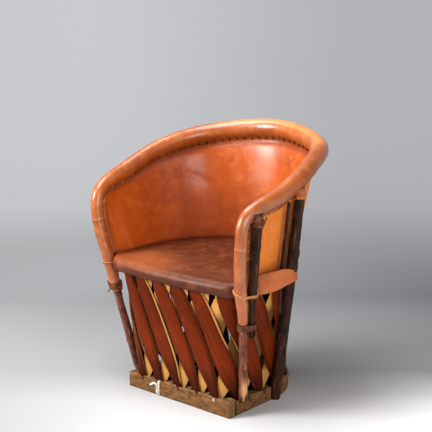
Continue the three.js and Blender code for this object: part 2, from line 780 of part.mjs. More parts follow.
// Section of the seat leather at its edge, as outward distances and heights. The front edge is round.
function seatEdge(share) {
  const skin = seatLeather;
  const near = seatHoopRadius + fit;
  const far = near + skin;
  const bottom = seatHoopHeight - seatEdgeDrop;
  const reach = flapReach * flapAtSeat(share, flapReachShares);
  const lift = flapLift * flapAtSeat(share, flapLiftShares);
  const lean = reach + lift * flapLeanShare;
  const level = seatTop - fit;
  const roll = seatEdgeRoll;
  const roundShare = 1 - smooth(Math.min(share, 1 - share), 0.125, 0.16);
  const arc = (degrees, radius) => {
    const angle = THREE.MathUtils.degToRad(degrees);
    return [radius * Math.cos(angle), seatHoopHeight + radius * Math.sin(angle)];
  };
  const blend = (square, round) => square.map((value, k) => mix(value, round[k], roundShare));
  return [
    [0, seatTop],
    blend([near - skin / 2 + reach, level], arc(65, far)),
    blend([near + lean, level + lift], arc(50, far + roll / 8)),
    blend([near + skin * 0.8 + lean, level + lift - skin * 0.2], arc(36, far + roll / 3)),
    blend([far + roll / 2 + reach, level + Math.min(0, lift) - skin - roll / 2], arc(20, far + roll * 0.8)),
    [far + roll + reach, seatHoopHeight],
    [far + reach, bottom],
    [near + reach, bottom],
    [near + roll + reach, seatHoopHeight],
    blend([near + roll / 2 + reach, level + Math.min(0, lift) - 2 * skin], arc(22.5, near)),
    blend([near - skin / 2 + reach, level - skin], arc(45, near)),
    [0, seatTop - skin],
  ];
}

function seatLeatherSolid() {
  const spreadShares = [0.28, 0.55, 0.8, 0.94];
  const rise = (spread) => seatCrown * (1 - spread ** 3);
  const edges = ringShares.map(seatEdge);
  const rings = [];
  for (const spread of spreadShares) {
    rings.push(ringShares.map((share) => seatInside(share, spread, seatTop + rise(spread))));
  }
  for (let k = 0; k < edges[0].length; k += 1) {
    rings.push(ringShares.map((share, i) => seatPoint(share, edges[i][k][0], edges[i][k][1])));
  }
  for (const spread of spreadShares.slice().reverse()) {
    rings.push(ringShares.map((share) => seatInside(share, spread, seatTop - seatLeather + rise(spread))));
  }
  const topCentre = seatCentre.clone().setZ(seatTop + seatCrown);
  const lowCentre = seatCentre.clone().setZ(seatTop + seatCrown - seatLeather);
  const points = [...rings.flat(), topCentre, lowCentre];
  const faces = [];
  for (let r = 0; r < rings.length - 1; r += 1) {
    for (let k = 0; k < ringSteps; k += 1) {
      const next = (k + 1) % ringSteps;
      const near = r * ringSteps;
      const far = near + ringSteps;
      faces.push([near + k, far + k, far + next], [near + k, far + next, near + next]);
    }
  }
  const lastRing = (rings.length - 1) * ringSteps;
  for (let k = 0; k < ringSteps; k += 1) {
    const next = (k + 1) % ringSteps;
    faces.push([points.length - 2, k, next], [points.length - 1, lastRing + next, lastRing + k]);
  }
  return closedSolid(points, faces);
}

// A stick with level rings through its points, each with its own radius.
function stickRings(points, grow) {
  const steps = (points.length - 1) * 3;
  return Array.from({ length: steps + 1 }, (_, i) => {
    const [x, y, z, radius] = through(points, i / 3);
    return Array.from({ length: stickSides }, (__, k) => {
      const angle = ((k + 0.5) * 2 * Math.PI) / stickSides;
      return vec(x + (radius + grow) * Math.cos(angle), y + (radius + grow) * Math.sin(angle), z);
    });
  });
}

// Top of a stick: outside the outer flap and just under the roll.
function underRim(rimShare, radius) {
  const frame = rimFrame(rimShare * rimMiddle);
  const side = slotHalf + rollLeather + fit + radius + stickLean;
  const depth = frame.radius + stickLean + fit;
  const point = rimSpot(frame, depth, -side);
  return [point.x, point.y, point.z, radius];
}

function besideSeat(share, radius, height) {
  const point = seatPoint(share, seatHoopRadius + seatLeather + fit + radius + fit, height);
  return [point.x, point.y, point.z, radius];
}

function mirroredStick(points) {
  return points.map(([x, y, z, radius]) => [-x, y, z, radius]);
}

const sidePost = [
  [baseHalf, sidePostSetback, 0, sidePostFootRadius],
  besideSeat(sidePostSeatShare, sidePostRadius, seatHoopHeight),
  underRim(sidePostRimShare, sidePostTopRadius),
];
const thinStick = [
  besideSeat(thinStickSeatShare, thinStickRadius, seatHoopHeight * 0.75),
  besideSeat(thinStickSeatShare, thinStickRadius, seatHoopHeight),
  underRim(thinStickRimShare, thinStickTopRadius),
];
const propLow = rimFrame(1.1);
const propGap = propLow.radius + propStickRadius + lashingRadius;
const propStick = [
  [propLow.centre.x + propStickRadius / 2, propLow.centre.y + propGap, propStickFoot, propStickFootRadius],
  [rollX + frontRollRadius, -seatRollReach + frontRollRadius + propStickRadius + fit * 2,
    seatHoopHeight, propStickRadius],
  underRim(propStickRimShare, propStickTopRadius),
];
const rearBow = baseDepth - sidePostSetback;
const rearFoot = new THREE.Vector2(Math.sin(backPostAngle) * (baseHalf + backPostRadius + 2 * fit),
  sidePostSetback + Math.cos(backPostAngle) * (rearBow + backPostRadius + 2 * fit));
const backPost = [
  [rearFoot.x, rearFoot.y, 0, backPostRadius],
  besideSeat(backPostSeatShare, backPostRadius, seatHoopHeight),
  underRim(backPostRimShare, backPostTopRadius),
];
const sticks = { rear_side_post: sidePost, thin_stick: thinStick, prop_stick: propStick, back_post: backPost };
const cutters = [];
for (const [name, points] of Object.entries(sticks)) {
  addMesh(name + '_right', sweep(stickRings(points, 0), false), stickColour, 0.85);
  addMesh(name + '_left', sweep(stickRings(mirroredStick(points), 0), false), stickColour, 0.85);
  cutters.push(sweep(stickRings(points, fit), false), sweep(stickRings(mirroredStick(points), fit), false));
}
function stickAt(points, height) {
  let low = 0;
  let high = points.length - 1;
  for (let i = 0; i < 40; i += 1) {
    const middle = (low + high) / 2;
    if (through(points, middle)[2] < height) {
      low = middle;
    } else {
      high = middle;
    }
  }
  return through(points, low);
}

// A strap of the seat leather goes once round the roll and the prop stick, lower on its outer side.
function strapRings(stickList, sign, grow) {
  return Array.from({ length: loopSteps }, (_, i) => {
    const angle = (i * 2 * Math.PI) / loopSteps;
    const tilt = sign > 0 ? rightStrapTilt : leftStrapTilt;
    const middle = seatHoopHeight + strapRise - strapHeight / 2 - tilt * Math.cos(angle);
    const at = (outward, height) => {
      const reach = ([x, y, , radius]) => x * Math.cos(angle) + y * Math.sin(angle) + radius;
      const circles = stickList.map((points) => stickAt(points, height));
      const outermost = circles.reduce((best, circle) => (reach(circle) > reach(best) ? circle : best));
      const offset = outermost[3] + fit + lashingSlack + outward;
      return vec(sign * (outermost[0] + offset * Math.cos(angle)), outermost[1] + offset * Math.sin(angle), height);
    };
    const low = middle - strapHeight / 2 - grow;
    const high = middle + strapHeight / 2 + grow;
    const far = strapThickness + grow;
    return [at(-grow, low), at(far, low), at(far, high), at(-grow, high)];
  });
}
const rollStick = rimRight.slice(0, 5);
for (const [name, sign] of [['seat_lashing_right', 1], ['seat_lashing_left', -1]]) {
  addMesh(name, sweep(strapRings([rollStick, propStick], sign, 0), true), leatherColour, 0.5);
  cutters.push(sweep(strapRings([rollStick, propStick], sign, fit), true));
}
addMesh('seat_leather', cut(seatLeatherSolid(), cutters), seatColour, 0.45);

// Base planks. Each notch is a pocket for a pair of slat tips and a narrow groove for their thong.
function block(width, depth, height, centre) {
  const geometry = new THREE.BoxGeometry(width, depth, height);
  geometry.translate(centre.x, centre.y, centre.z);
  return geometry;
}

function notchCutters(share, top, thickness) {
  const point = tipRing.at(share);
  const out = tipRing.out(share);
  const turn = Math.atan2(out.y, out.x) + Math.PI / 2;
  const place = (geometry) => geometry.rotateZ(turn).translate(point.x, point.y, 0);
  const inward = thickness - slatInset + overrun;
  const outward = slatInset - pocketWall;
  const pocket = block(pocketWidth, inward + outward, pocketDepth + overrun,
    vec(0, (inward - outward) / 2, top - pocketDepth + (pocketDepth + overrun) / 2));
  const grooveRun = slatInset + overrun;
  const groove = block(grooveWidth, grooveRun, grooveDepth + overrun,
    vec(0, -grooveRun / 2, top - grooveDepth + (grooveDepth + overrun) / 2));
  return [place(pocket), place(groove)];
}

const frontCount = frontNotchShares.length;
const sideCount = sideNotchShares.length;
const frontShares = [...halfNotches.slice(0, frontCount), ...halfNotches.slice(1, frontCount).map((s) => 1 - s)];
const sideShares = halfNotches.slice(frontCount, frontCount + sideCount);
const rearHalfShares = halfNotches.slice(frontCount + sideCount);
const rearShares = [...rearHalfShares, ...rearHalfShares.map((share) => 1 - share)];

// Pale cord round the front plank: two strands over its face and under it, and one loose end.
const cordNotch = tipRing.at(1 - halfNotches[1]).x;
const cordPlankTop = frontTopAt(cordNotch);
const cordTop = cordPlankTop - grooveDepth + cordRadius + fit;
const cordLow = cordRadius + fit;
const cordBack = plankThickness;
const cordTurn = cordPlankTop - pocketDepth - 3 * cordRadius;
const strand = cordNotch - cordPitch;
const looseEnd = 3 * cordPitch;
const cordStops = [
  [cordNotch, pocketWall - fit, cordTop],
  [cordNotch, fit, cordTop],
  [cordNotch, -cordRadius / 4, cordTop - cordRadius],
  [cordNotch, 0, cordPlankTop / 2],
  [cordNotch, 0, 2 * cordRadius],
  [cordNotch, cordRadius, cordLow],
  [cordNotch, plankThickness / 2, cordLow],
  [cordNotch, cordBack - cordRadius, cordLow],
  [cordNotch, cordBack, 2 * cordRadius],
  [cordNotch, cordBack, cordTurn - cordPitch / 2],
  [mix(cordNotch, strand, 0.5), cordBack + cordRadius / 4, cordTurn],
  [strand, cordBack, cordTurn - cordPitch / 2],
  [strand, cordBack, 2 * cordRadius],
  [strand, cordBack - cordRadius, cordLow],
  [strand, plankThickness / 2, cordLow],
  [strand, cordRadius, cordLow],
  [strand, 0, 2 * cordRadius],
  [strand, 0, cordPlankTop / 2],
  [strand - cordRadius / 2, -cordRadius / 2, cordPlankTop * 0.68],
  [strand - looseEnd * 0.45, -cordRadius - fit, cordPlankTop * 0.74],
  [strand - looseEnd, -cordRadius - fit, cordPlankTop * 0.56],
];
const cordStepsPerStop = 3;
const cordPath = [];
for (let i = 0; i <= (cordStops.length - 1) * cordStepsPerStop; i += 1) {
  cordPath.push(vec(...through(cordStops, i / cordStepsPerStop)));
}
addMesh('base_tie_cord', tube(cordPath, cordRadius, cordSides), cordColour, 0.9);

const frontFace = new THREE.Shape([[-baseHalf, 0], [baseHalf, 0], [baseHalf, frontPlankHeight],
  [-baseHalf, frontPlankLeftHeight]].map(([x, z]) => new THREE.Vector2(x, z)));
const frontPlank = mergeVertices(stripped(new THREE.ExtrudeGeometry(frontFace,
  { depth: plankThickness, bevelEnabled: false })));
frontPlank.rotateX(Math.PI / 2).translate(0, plankThickness, 0);
const frontCuts = frontShares.flatMap((share) => notchCutters(share, plankTopAt(share), plankThickness));
frontCuts.push(tube(cordPath, cordRadius + fit, cordSides));
addMesh('base_front_plank', cut(frontPlank, frontCuts), plankColour, 0.8);

const sideLength = sideEnd - sideStart - 2 * fit;
function sidePlank(isLeft) {
  const sign = isLeft ? -1 : 1;
  const plank = block(plankThickness, sideLength, sidePlankHeight,
    vec(sign * (baseHalf - plankThickness / 2), sideStart + fit + sideLength / 2, sidePlankHeight / 2));
  const shares = isLeft ? sideShares.map((share) => 1 - share) : sideShares;
  const cuts = shares.flatMap((share) => notchCutters(share, sidePlankHeight, plankThickness));
  const rearPost = isLeft ? mirroredStick(sidePost) : sidePost;
  cuts.push(sweep(frontPostRings(isLeft, fit), false), sweep(stickRings(rearPost, fit), false));
  return cut(plank, cuts);
}
addMesh('base_side_plank_right', sidePlank(false), plankColour, 0.8);
addMesh('base_side_plank_left', sidePlank(true), plankColour, 0.8);

function rearArc(inset) {
  const bow = rearBow - inset;
  const start = Math.asin((sidePostFootRadius + fit) / bow);
  const steps = 28;
  return Array.from({ length: steps + 1 }, (_, i) => {
    const angle = mix(start, Math.PI - start, i / steps);
    return new THREE.Vector2((baseHalf - inset) * Math.cos(angle), sidePostSetback + bow * Math.sin(angle));
  });
}
const rearShape = new THREE.Shape([...rearArc(0), ...rearArc(rearPlankThickness).reverse()]);
const rearPlank = mergeVertices(stripped(new THREE.ExtrudeGeometry(rearShape,
  { depth: rearPlankHeight, bevelEnabled: false, curveSegments: 1 })));
const rearCuts = rearShares.flatMap((share) => notchCutters(share, rearPlankHeight, rearPlankThickness));
addMesh('base_rear_hoop', cut(rearPlank, rearCuts), plankColour, 0.8);

function stripped(geometry) {
  geometry.deleteAttribute('normal');
  geometry.deleteAttribute('uv');
  return geometry;
}

// Lashings. Each is one thong wound round two sticks like a belt round two wheels.
function lashingPath(stickList, from, sign) {
  const path = [];
  for (let i = 0; i <= lashingLoops * loopSteps; i += 1) {
    const angle = (i * 2 * Math.PI) / loopSteps;
    const height = from + (i * lashingPitch) / loopSteps;
    const reach = ([x, y, , radius]) => x * Math.cos(angle) + y * Math.sin(angle) + radius;
    const circles = stickList.map((points) => stickAt(points, height));
    const outermost = circles.reduce((best, circle) => (reach(circle) > reach(best) ? circle : best));
    const offset = outermost[3] + fit + lashingSlack + lashingRadius;
    path.push(vec(sign * (outermost[0] + offset * Math.cos(angle)),
      outermost[1] + offset * Math.sin(angle), height));
  }
  return path;
}

function leastGap(path, radius, apart) {
  let least = Infinity;
  for (let i = 0; i < path.length; i += 1) {
    for (let j = i + apart; j < path.length; j += 1) {
      least = Math.min(least, path[i].distanceTo(path[j]) - 2 * radius);
    }
  }
  return least;
}

const bareStick = rollStick.map(([x, y, z, radius]) => [x, y, z, radius - rollLeather - fit]);
const lowFrom = rimCentre(1).z + 2 * lashingRadius;
const lowerLashings = [
  ['lower_lashing_right', lashingPath([bareStick, propStick], lowFrom - rightLashingDrop, 1)],
  ['lower_lashing_left', lashingPath([rollStick, propStick], lowFrom, -1)],
];
for (const [name, path] of lowerLashings) {
  addMesh(name, tube(path, lashingRadius, cordSides), thongColour, 0.8);
  console.log(name, 'least gap', leastGap(path, lashingRadius, loopSteps / 2));
}

console.log('base_tie_cord least gap', leastGap(cordPath, cordRadius, 5 * cordStepsPerStop));

group.updateMatrixWorld(true);
const extent = new THREE.Box3().setFromObject(group);
group.position.y = -(extent.min.y + extent.max.y) / 2;

export default group;
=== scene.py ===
"""Equipale armchair: laced saddle leather on split slats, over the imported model's frame."""

import bisect
import json
import math
import random

import bmesh
import bpy
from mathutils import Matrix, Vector, noise

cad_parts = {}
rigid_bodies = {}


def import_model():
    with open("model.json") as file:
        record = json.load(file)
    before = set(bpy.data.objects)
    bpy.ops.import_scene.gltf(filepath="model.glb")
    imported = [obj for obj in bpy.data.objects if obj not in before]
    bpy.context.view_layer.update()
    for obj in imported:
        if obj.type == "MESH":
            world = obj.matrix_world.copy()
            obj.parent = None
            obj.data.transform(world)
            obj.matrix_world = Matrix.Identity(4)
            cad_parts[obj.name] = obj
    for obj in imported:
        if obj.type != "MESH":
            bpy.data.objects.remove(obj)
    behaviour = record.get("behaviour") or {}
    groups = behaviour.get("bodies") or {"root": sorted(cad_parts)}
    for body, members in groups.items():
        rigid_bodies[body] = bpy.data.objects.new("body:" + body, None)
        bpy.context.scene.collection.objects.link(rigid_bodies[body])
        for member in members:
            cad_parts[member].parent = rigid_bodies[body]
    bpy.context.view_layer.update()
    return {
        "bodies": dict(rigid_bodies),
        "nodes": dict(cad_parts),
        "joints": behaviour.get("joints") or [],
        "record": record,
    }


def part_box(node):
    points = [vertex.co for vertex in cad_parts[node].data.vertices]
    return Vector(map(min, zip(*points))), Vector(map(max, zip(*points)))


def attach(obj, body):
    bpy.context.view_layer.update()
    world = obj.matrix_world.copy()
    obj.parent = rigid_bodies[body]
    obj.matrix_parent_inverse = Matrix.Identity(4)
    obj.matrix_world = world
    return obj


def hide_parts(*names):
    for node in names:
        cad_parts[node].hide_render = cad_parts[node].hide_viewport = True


bl_info = {
    "name": "Equipale armchair",
    "version": (1, 0, 0),
    "blender": (4, 5, 0),
    "location": "View3D > Sidebar > Equipale",
    "description": "Builds the leather, bark and split wood of an equipale armchair",
    "category": "Object",
}

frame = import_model()

# Lengths are millimetres from the middle of the front plank's outer face, as in the part's source.
MM = 0.001
FRONT_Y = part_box("base_front_plank")[0].y
FIT = 0.3

BASE_WIDTH = 435
PLANK_THICKNESS = 32
POCKET_DEPTH = 15
POCKET_WALL = 6.5
GROOVE_DEPTH = 10
PLANK_RIGHT_HEIGHT = 58
PLANK_LEFT_HEIGHT = 50
SLAT_INSET = 18.5
SIDE_POST_SETBACK = 227
REAR_BOW = 440
NOTCH_X = [0, 80.6, 156.2]
NOTCH_Y = [74.7, 174.4]

SEAT_HALF = 248
SEAT_DEPTH = 464
SEAT_OVERHANG = 30
HOOP_HEIGHT = 418
HOOP_RADIUS = 20
SEAT_SKIN = 4
SEAT_CROWN = 14
SEAT_EDGE_DROP = 23
SEAT_EDGE_ROLL = 3.5
SEAT_TOP = HOOP_HEIGHT + HOOP_RADIUS + FIT + SEAT_SKIN
SEAT_PLAN = [(0, 0), (0.42, 0.006), (0.74, 0.03), (0.96, 0.09), (0.995, 0.22), (1, 0.4),
             (0.945, 0.575), (0.785, 0.765), (0.46, 0.935), (0, 1)]
FLAP_LIFT = 18
FLAP_LEAN = 0.35
FLAP_REACH = 41.6
FLAP_PLACES = [0.146, 0.166, 0.18, 0.24, 0.258, 0.272, 0.279, 0.287, 0.303]
FLAP_REACHES = [0, 0.41, 0.3, 0.7, 0.84, 0.98, 0.88, 0.4, 0]
FLAP_LIFTS = [0, -0.25, 0.9, 1, 0.6, 0, -0.5, -0.4, 0]
# The front corners of the seat leather reach out to the roll.
WEB_PLACES = [0.1, 0.12, 0.13, 0.138, 0.142, 0.146, 0.15, 0.158]
WEB_REACHES = [0, 5, 12, 16, 13.5, 8, 4, 0]

RIM_RIGHT = [
    (225, 58, 34, 18.3), (268.6, 1.1, 318.2, 16), (277.5, -21, 418, 19), (298.9, -47, 559.2, 19),
    (307.1, -28.2, 653.2, 20.4), (327, 106.1, 700.1, 26), (308, 273.1, 763.1, 27.2),
    (220.1, 426, 801, 30),
]
RIM_POINTS = RIM_RIGHT + [(0, 503, 825, 30)] + [(-x, y, z, r) for x, y, z, r in reversed(RIM_RIGHT)]
RIM_END = len(RIM_POINTS) - 1
RIM_MIDDLE = RIM_END / 2
BEND_STOP = 4
SIDE_START = 0.19
ROLL_SKIN = 3
BACK_SKIN = 3
FLAP_LENGTH = 15
SLOT_HALF = BACK_SKIN / 2 + 2 * FIT
BACK_LENGTH = 1350
BACK_HEIGHT = 360
# The height of the back's middle, in metres.
BACK_MIDDLE = 0.65
# Folds of the back leather: both ends as shares of its length and height, depth and half width.
BACK_FOLDS = [((0.77, 0.86), (0.665, 0.58), 3.0, 13), ((0.775, 0.8), (0.735, 0.42), -2.2, 11),
              ((0.6, 0.9), (0.575, 0.55), -2.4, 16), ((0.43, 0.8), (0.4, 0.3), 2.2, 20),
              ((0.87, 0.6), (0.8, 0.3), 2.0, 14)]
SIDES = (("right", 1), ("left", -1))
UP = Vector((0, 0, 1))
TINY = 1e-9
LEVEL_GAP = 0.002

# Steps along the roll and its lacing in millimetres, and the lacing's start in stops past the roll's foot.
ROLL_STEP = 4.2
STITCH_STEP = 4
LACED_MARGIN = 0.5
EDGE_POINTS = 5
LOBE_STEPS = 30
# Stops at which the tongues' leather is pieced: stop, width of the ridge and of the painted shade beside it,
# and width of the lighter line along it, partly painted highlight.
PIECED_STOPS = ((3.02, 0.022, 0.016), (1.98, 0.03, 0.02))
TONGUE_TOP = 4.2
CLOTH_FRAMES = 20
BACK_COLUMNS = 150
BACK_ROWS = 56
SEAT_STEPS = 300
# Rings of the seat leather: shares of the way from its middle to its edge, and readings of its section.
SEAT_SPREADS = [0.03, 0.12, 0.22, 0.34, 0.46, 0.58, 0.69, 0.78, 0.86, 0.92, 0.96]
EDGE_READS = [0, 0.5, 1, 1.33, 1.66, 2, 2.3, 2.6, 3, 3.4, 3.8, 4.2, 4.6, 5, 5.4, 5.8, 6, 7, 8, 9, 10, 11]

SLAT_COUNT = 17
# How much an outer slat's edges are fuller near its foot than the CAD slat's, in metres.
FOOT_FULLNESS = 0.0032
# How much of an outer slat's left and right edge shows pale split wood.
PALE_EDGES = {17: (1, 0.1), 1: (0, 1), 2: (0, 0.1), 3: (0, 0.1), 4: (0, 1), 5: (0.6, 0.2), 6: (0, 1),
              8: (1, 0), 10: (0, 1), 13: (0.8, 0)}
USUAL_EDGES = (0.15, 0.5)
INNER_EDGES = (0.8, 0.8)
# Places across a slat, from -1 at its left edge to 1 at its right, on the bark face and on the split face.
FACE_STEPS = (0.62, 0.32, 0, -0.32, -0.62)
SPLIT_STEPS = (-0.97, -0.62, -0.2, 0.2, 0.62, 0.97)

STICK_SIDES = 20
HOOP_SIDES = 16
HOOP_STEPS = 180

# Planks. All but the height are in metres: the size of the voxels, the height below which a point is on the
# ground, the place of a side plank's notch behind the front, and the planks' ends.
PLANKS = ("base_front_plank", "base_side_plank_right", "base_side_plank_left", "base_rear_hoop")
SIDE_HEIGHT = 47
VOXEL = 0.0024
GROUND_GAP = 0.0012
NOTCH_PLACE = 0.103
END_FACE = BASE_WIDTH / 2 * MM

# Straps and lashings: points round each, the two straps' tilts, and the lower bindings' turns and heights.
NECK_STEPS = 64
STRAP_STEPS = 72
WIND_STEPS = 40
STRAP_TILTS = (9, 2)
BINDING_TURNS = 3.3
BINDING_HEIGHTS = (293, 323)

# The plies of the tie cord, in metres.
PLIES = 3
PLY_OFFSET = 0.0019
PLY_RADIUS = 0.0022
TWIST_LENGTH = 0.011
# The notch whose thongs are pale, and the rear notches' shares of the way along half of the rear plank.
PALE_SPOT = 3
REAR_SHARES = (0.13, 0.38, 0.63, 0.88)

# The camera and the studio, in metres and degrees. A light has a place, a point that it faces and a size.
CAMERA_PLACE = (2.222, -2.371 + FRONT_Y, 1.321)
CAMERA_TILT = 77.58
CAMERA_TURN = 40.96
SENSOR_WIDTH = 36
WORLD_COLOUR = (0.80, 0.81, 0.84, 1)
WORLD_STRENGTH = 0.3
LIGHTS = {
    "key": ((-1.75, -2.9, 2.0), (0, 0, 0.5), (1.4, 1.6)),
    "fill": ((3.0, -1.3, 1.2), (0, 0, 0.45), (1.5, 1.6)),
    "top": ((-0.6, -0.4, 2.8), (0, 0.1, 0.6), (2.0, 1.4)),
}
FLOOR_STEPS = 96
FLOOR_PROFILE = [(0.02, 0), (1.0, 0), (2.4, 0), (3.6, 0), (4.0, 0.04), (4.3, 0.16), (4.6, 0.42), (4.75, 0.8),
                 (4.8, 1.3), (4.8, 3.0)]


def mix(a, b, share):
    return a + (b - a) * share


def smooth(value, low, high):
    share = limit((value - low) / (high - low))
    return share * share * (3 - 2 * share)


def limit(value):
    return min(1.0, max(0.0, value))


def bell(away, width):
    return math.exp(-(away / width) ** 2)


def uneven(x, y, z):
    return noise.noise(Vector((x, y, z)))


def upward(height):
    return Vector((0, 0, height))


def facing_at(angle):
    return Vector((math.cos(angle), math.sin(angle), 0))


def place(x, y, z):
    """A point of the part's source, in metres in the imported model."""
    return Vector((x * MM, y * MM + FRONT_Y, z * MM))


def to_metres(point, sign=1):
    """The same for a vector, or for its mirror image where sign is -1."""
    return place(point.x * sign, point.y, point.z)


def through(points, position):
    """A smooth curve through its points, read by point number."""
    last = len(points) - 1
    index = min(last - 1, max(0, math.floor(position)))
    share = position - index
    a, b = points[index], points[index + 1]
    before = points[index - 1] if index else [2 * p - q for p, q in zip(a, b)]
    after = points[index + 2] if index + 2 <= last else [2 * q - p for p, q in zip(a, b)]
    s2, s3 = share * share, share ** 3
    return [(2 * s3 - 3 * s2 + 1) * p + (3 * s2 - 2 * s3) * q
            + (s3 - 2 * s2 + share) * (q - o) / 2 + (s3 - s2) * (r - p) / 2
            for o, p, q, r in zip(before, a, b, after)]


def at_height(rows, height, low=0.0, high=None):
    """The point of a rising line at a height, and its point number."""
    high = len(rows) - 1.0 if high is None else high
    for _ in range(30):
        middle = (low + high) / 2
        if through(rows, middle)[2] < height:
            low = middle
        else:
            high = middle
    return through(rows, low), low


FOOT_STOP = at_height(RIM_POINTS, SEAT_TOP + 2 * FIT, 2, 3)[1]


def part_way(runs, run):
    """The number of the step that a length falls in, and its share of that step."""
    index = min(len(runs) - 2, max(0, bisect.bisect_right(runs, run) - 1))
    return index, (run - runs[index]) / max(runs[index + 1] - runs[index], TINY)


class Line:
    """A run of points, read by its share of the length."""

    def __init__(self, points, closed=False):
        self.points = [Vector(p) for p in points]
        self.closed = closed
        if closed:
            self.points.append(self.points[0].copy())
        self.runs = [0.0]
        for a, b in zip(self.points, self.points[1:]):
            self.runs.append(self.runs[-1] + (b - a).length)
        self.length = self.runs[-1]

    def at(self, share):
        run = (share % 1.0 if self.closed else limit(share)) * self.length
        index, part = part_way(self.runs, run)
        return self.points[index].lerp(self.points[index + 1], part)

    def out(self, share):
        """The level direction out of a closed plan line."""
        run = self.at(share + 0.002) - self.at(share - 0.002)
        return Vector((run.y, -run.x)).normalized()

    def broad_out(self, share):
        return sum((self.out(share + s) for s in (-0.02, -0.01, 0, 0.01, 0.02)), Vector((0, 0))).normalized()


def seat_line():
    half = [(x * SEAT_HALF, y * SEAT_DEPTH - SEAT_OVERHANG) for x, y in SEAT_PLAN]
    loop = half + [(-x, y) for x, y in reversed(half[1:-1])]
    turns = loop[-2:] + loop + loop[:3]
    return Line([through(turns, 2 + i / 12) for i in range(len(loop) * 12)], closed=True)


SEAT_LINE = seat_line()


def seat_spot(share, outward, height):
    centre, out = SEAT_LINE.at(share), SEAT_LINE.broad_out(share)
    return Vector((centre.x + out.x * outward, centre.y + out.y * outward, height))


def seat_foot(share):
    """A point of the line where the back leather meets the seat."""
    return seat_spot(share, HOOP_RADIUS - BACK_SKIN, SEAT_TOP + 2 * FIT)


class RollFrame:
    """Where the roll is at one stop: its centre, the way into the back leather and towards the sitter."""

    def __init__(self, stop):
        mirrored = stop > RIM_MIDDLE
        own = RIM_END - stop if mirrored else stop
        x, y, z, self.radius = through(RIM_POINTS, own)
        self.centre = Vector((x, y, z))
        self.own = own
        ahead, behind = through(RIM_POINTS, own + 0.01), through(RIM_POINTS, own - 0.01)
        travel = (Vector(ahead[:3]) - Vector(behind[:3])).normalized()
        even = (own - BEND_STOP) / (RIM_MIDDLE - BEND_STOP)
        run = mix(smooth(own, BEND_STOP - 1, RIM_MIDDLE), even, 0.5)
        foot = seat_foot(mix(SIDE_START, 0.5, max(0.0, run)))
        down = (foot - self.centre).normalized()
        into = Vector((-0.06, 1, 0)).lerp(down, smooth(own, BEND_STOP - 0.9, BEND_STOP + 1)).normalized()
        into = (into - travel * into.dot(travel)).normalized()
        if mirrored:
            self.centre.x *= -1
            into.x *= -1
            travel = Vector((travel.x, -travel.y, -travel.z))
        self.into, self.travel = into, travel
        self.inward = travel.cross(into).normalized()

    def spot(self, depth, side):
        return self.centre + self.into * depth + self.inward * side


def even_stops(first, last, step):
    """Stops along the roll that are evenly spaced, with the length run at each."""
    count = 1200
    stops = [mix(first, last, i / count) for i in range(count + 1)]
    line = Line([through(RIM_POINTS, s)[:3] for s in stops])
    steps = max(2, round(line.length / step))
    found = []
    for i in range(steps + 1):
        run = line.length * i / steps
        index, part = part_way(line.runs, run)
        found.append((mix(stops[index], stops[index + 1], part), run))
    return found


def roll_stops():
    return even_stops(1, RIM_END - 1, ROLL_STEP)


# Meshes


def lay_out(faces, rings, is_loop, order, row, uv):
    """Gives the faces of a loft the length round its middle ring and the mean length along it as UVs."""
    count = len(rings[0])
    middle = rings[len(rings) // 2]
    widths = [0.0]
    for a, b in zip(middle, middle[1:] + middle[:1]):
        widths.append(widths[-1] + (Vector(b) - Vector(a)).length)
    lengths = [0.0]
    for a, b in zip(rings, rings[1:] + rings[:1]):
        lengths.append(lengths[-1] + sum((Vector(p) - Vector(q)).length for p, q in zip(a, b)) / count)
    top = len(rings) - 1
    for face in faces:
        orders = [v[order] for v in face.verts]
        rows = [v[row] for v in face.verts]
        for corner in face.loops:
            i, k = corner.vert[order], corner.vert[row]
            if i == 0 and max(orders) == count - 1 and len(face.verts) == 4:
                i = count
            if is_loop and k == 0 and max(rows) == top:
                k = top + 1
            corner[uv].uv = (widths[i], lengths[k])


def loft(rings, is_loop=False, marks=None, bm=None, open_section=False):
    """Extrudes a ring of points through the others. marks gives each point a number by name."""
    bm = bm or bmesh.new()
    floats, ints, uvs = bm.verts.layers.float, bm.verts.layers.int, bm.loops.layers.uv
    order = ints.get("order") or ints.new("order")
    row = ints.get("row") or ints.new("row")
    layers = {name: floats.get(name) or floats.new(name) for name in marks or {}}
    first = [bm.verts.new(p) for p in rings[0]]
    edges = [bm.edges.new(pair) for pair in zip(first, first[1:])]
    if not open_section:
        edges.append(bm.edges.new((first[-1], first[0])))
    for i, vert in enumerate(first):
        vert[order] = i
        vert[row] = 0
        for name, layer in layers.items():
            vert[layer] = marks[name][0][i]
    loops, ring_verts = [edges], [first]
    for k, ring in enumerate(rings[1:], 1):
        grown = bmesh.ops.extrude_edge_only(bm, edges=edges)["geom"]
        verts = sorted((g for g in grown if isinstance(g, bmesh.types.BMVert)), key=lambda v: v[order])
        own = set(verts)
        edges = [g for g in grown if isinstance(g, bmesh.types.BMEdge) and own.issuperset(g.verts)]
        for vert, point in zip(verts, ring):
            vert.co = point
            vert[row] = k
            for name, layer in layers.items():
                vert[layer] = marks[name][k][vert[order]]
        loops.append(edges)
        ring_verts.append(verts)
    if is_loop:
        bmesh.ops.bridge_loops(bm, edges=loops[0] + loops[-1])
    elif not open_section:
        for end in (ring_verts[0], ring_verts[-1]):
            bmesh.ops.contextual_create(bm, geom=end)
    own = {vert for verts in ring_verts for vert in verts}
    faces = [f for f in bm.faces if f.verts[0] in own]
    bmesh.ops.recalc_face_normals(bm, faces=faces)
    lay_out(faces, rings, is_loop, order, row, uvs.get("surface") or uvs.new("surface"))
    return bm


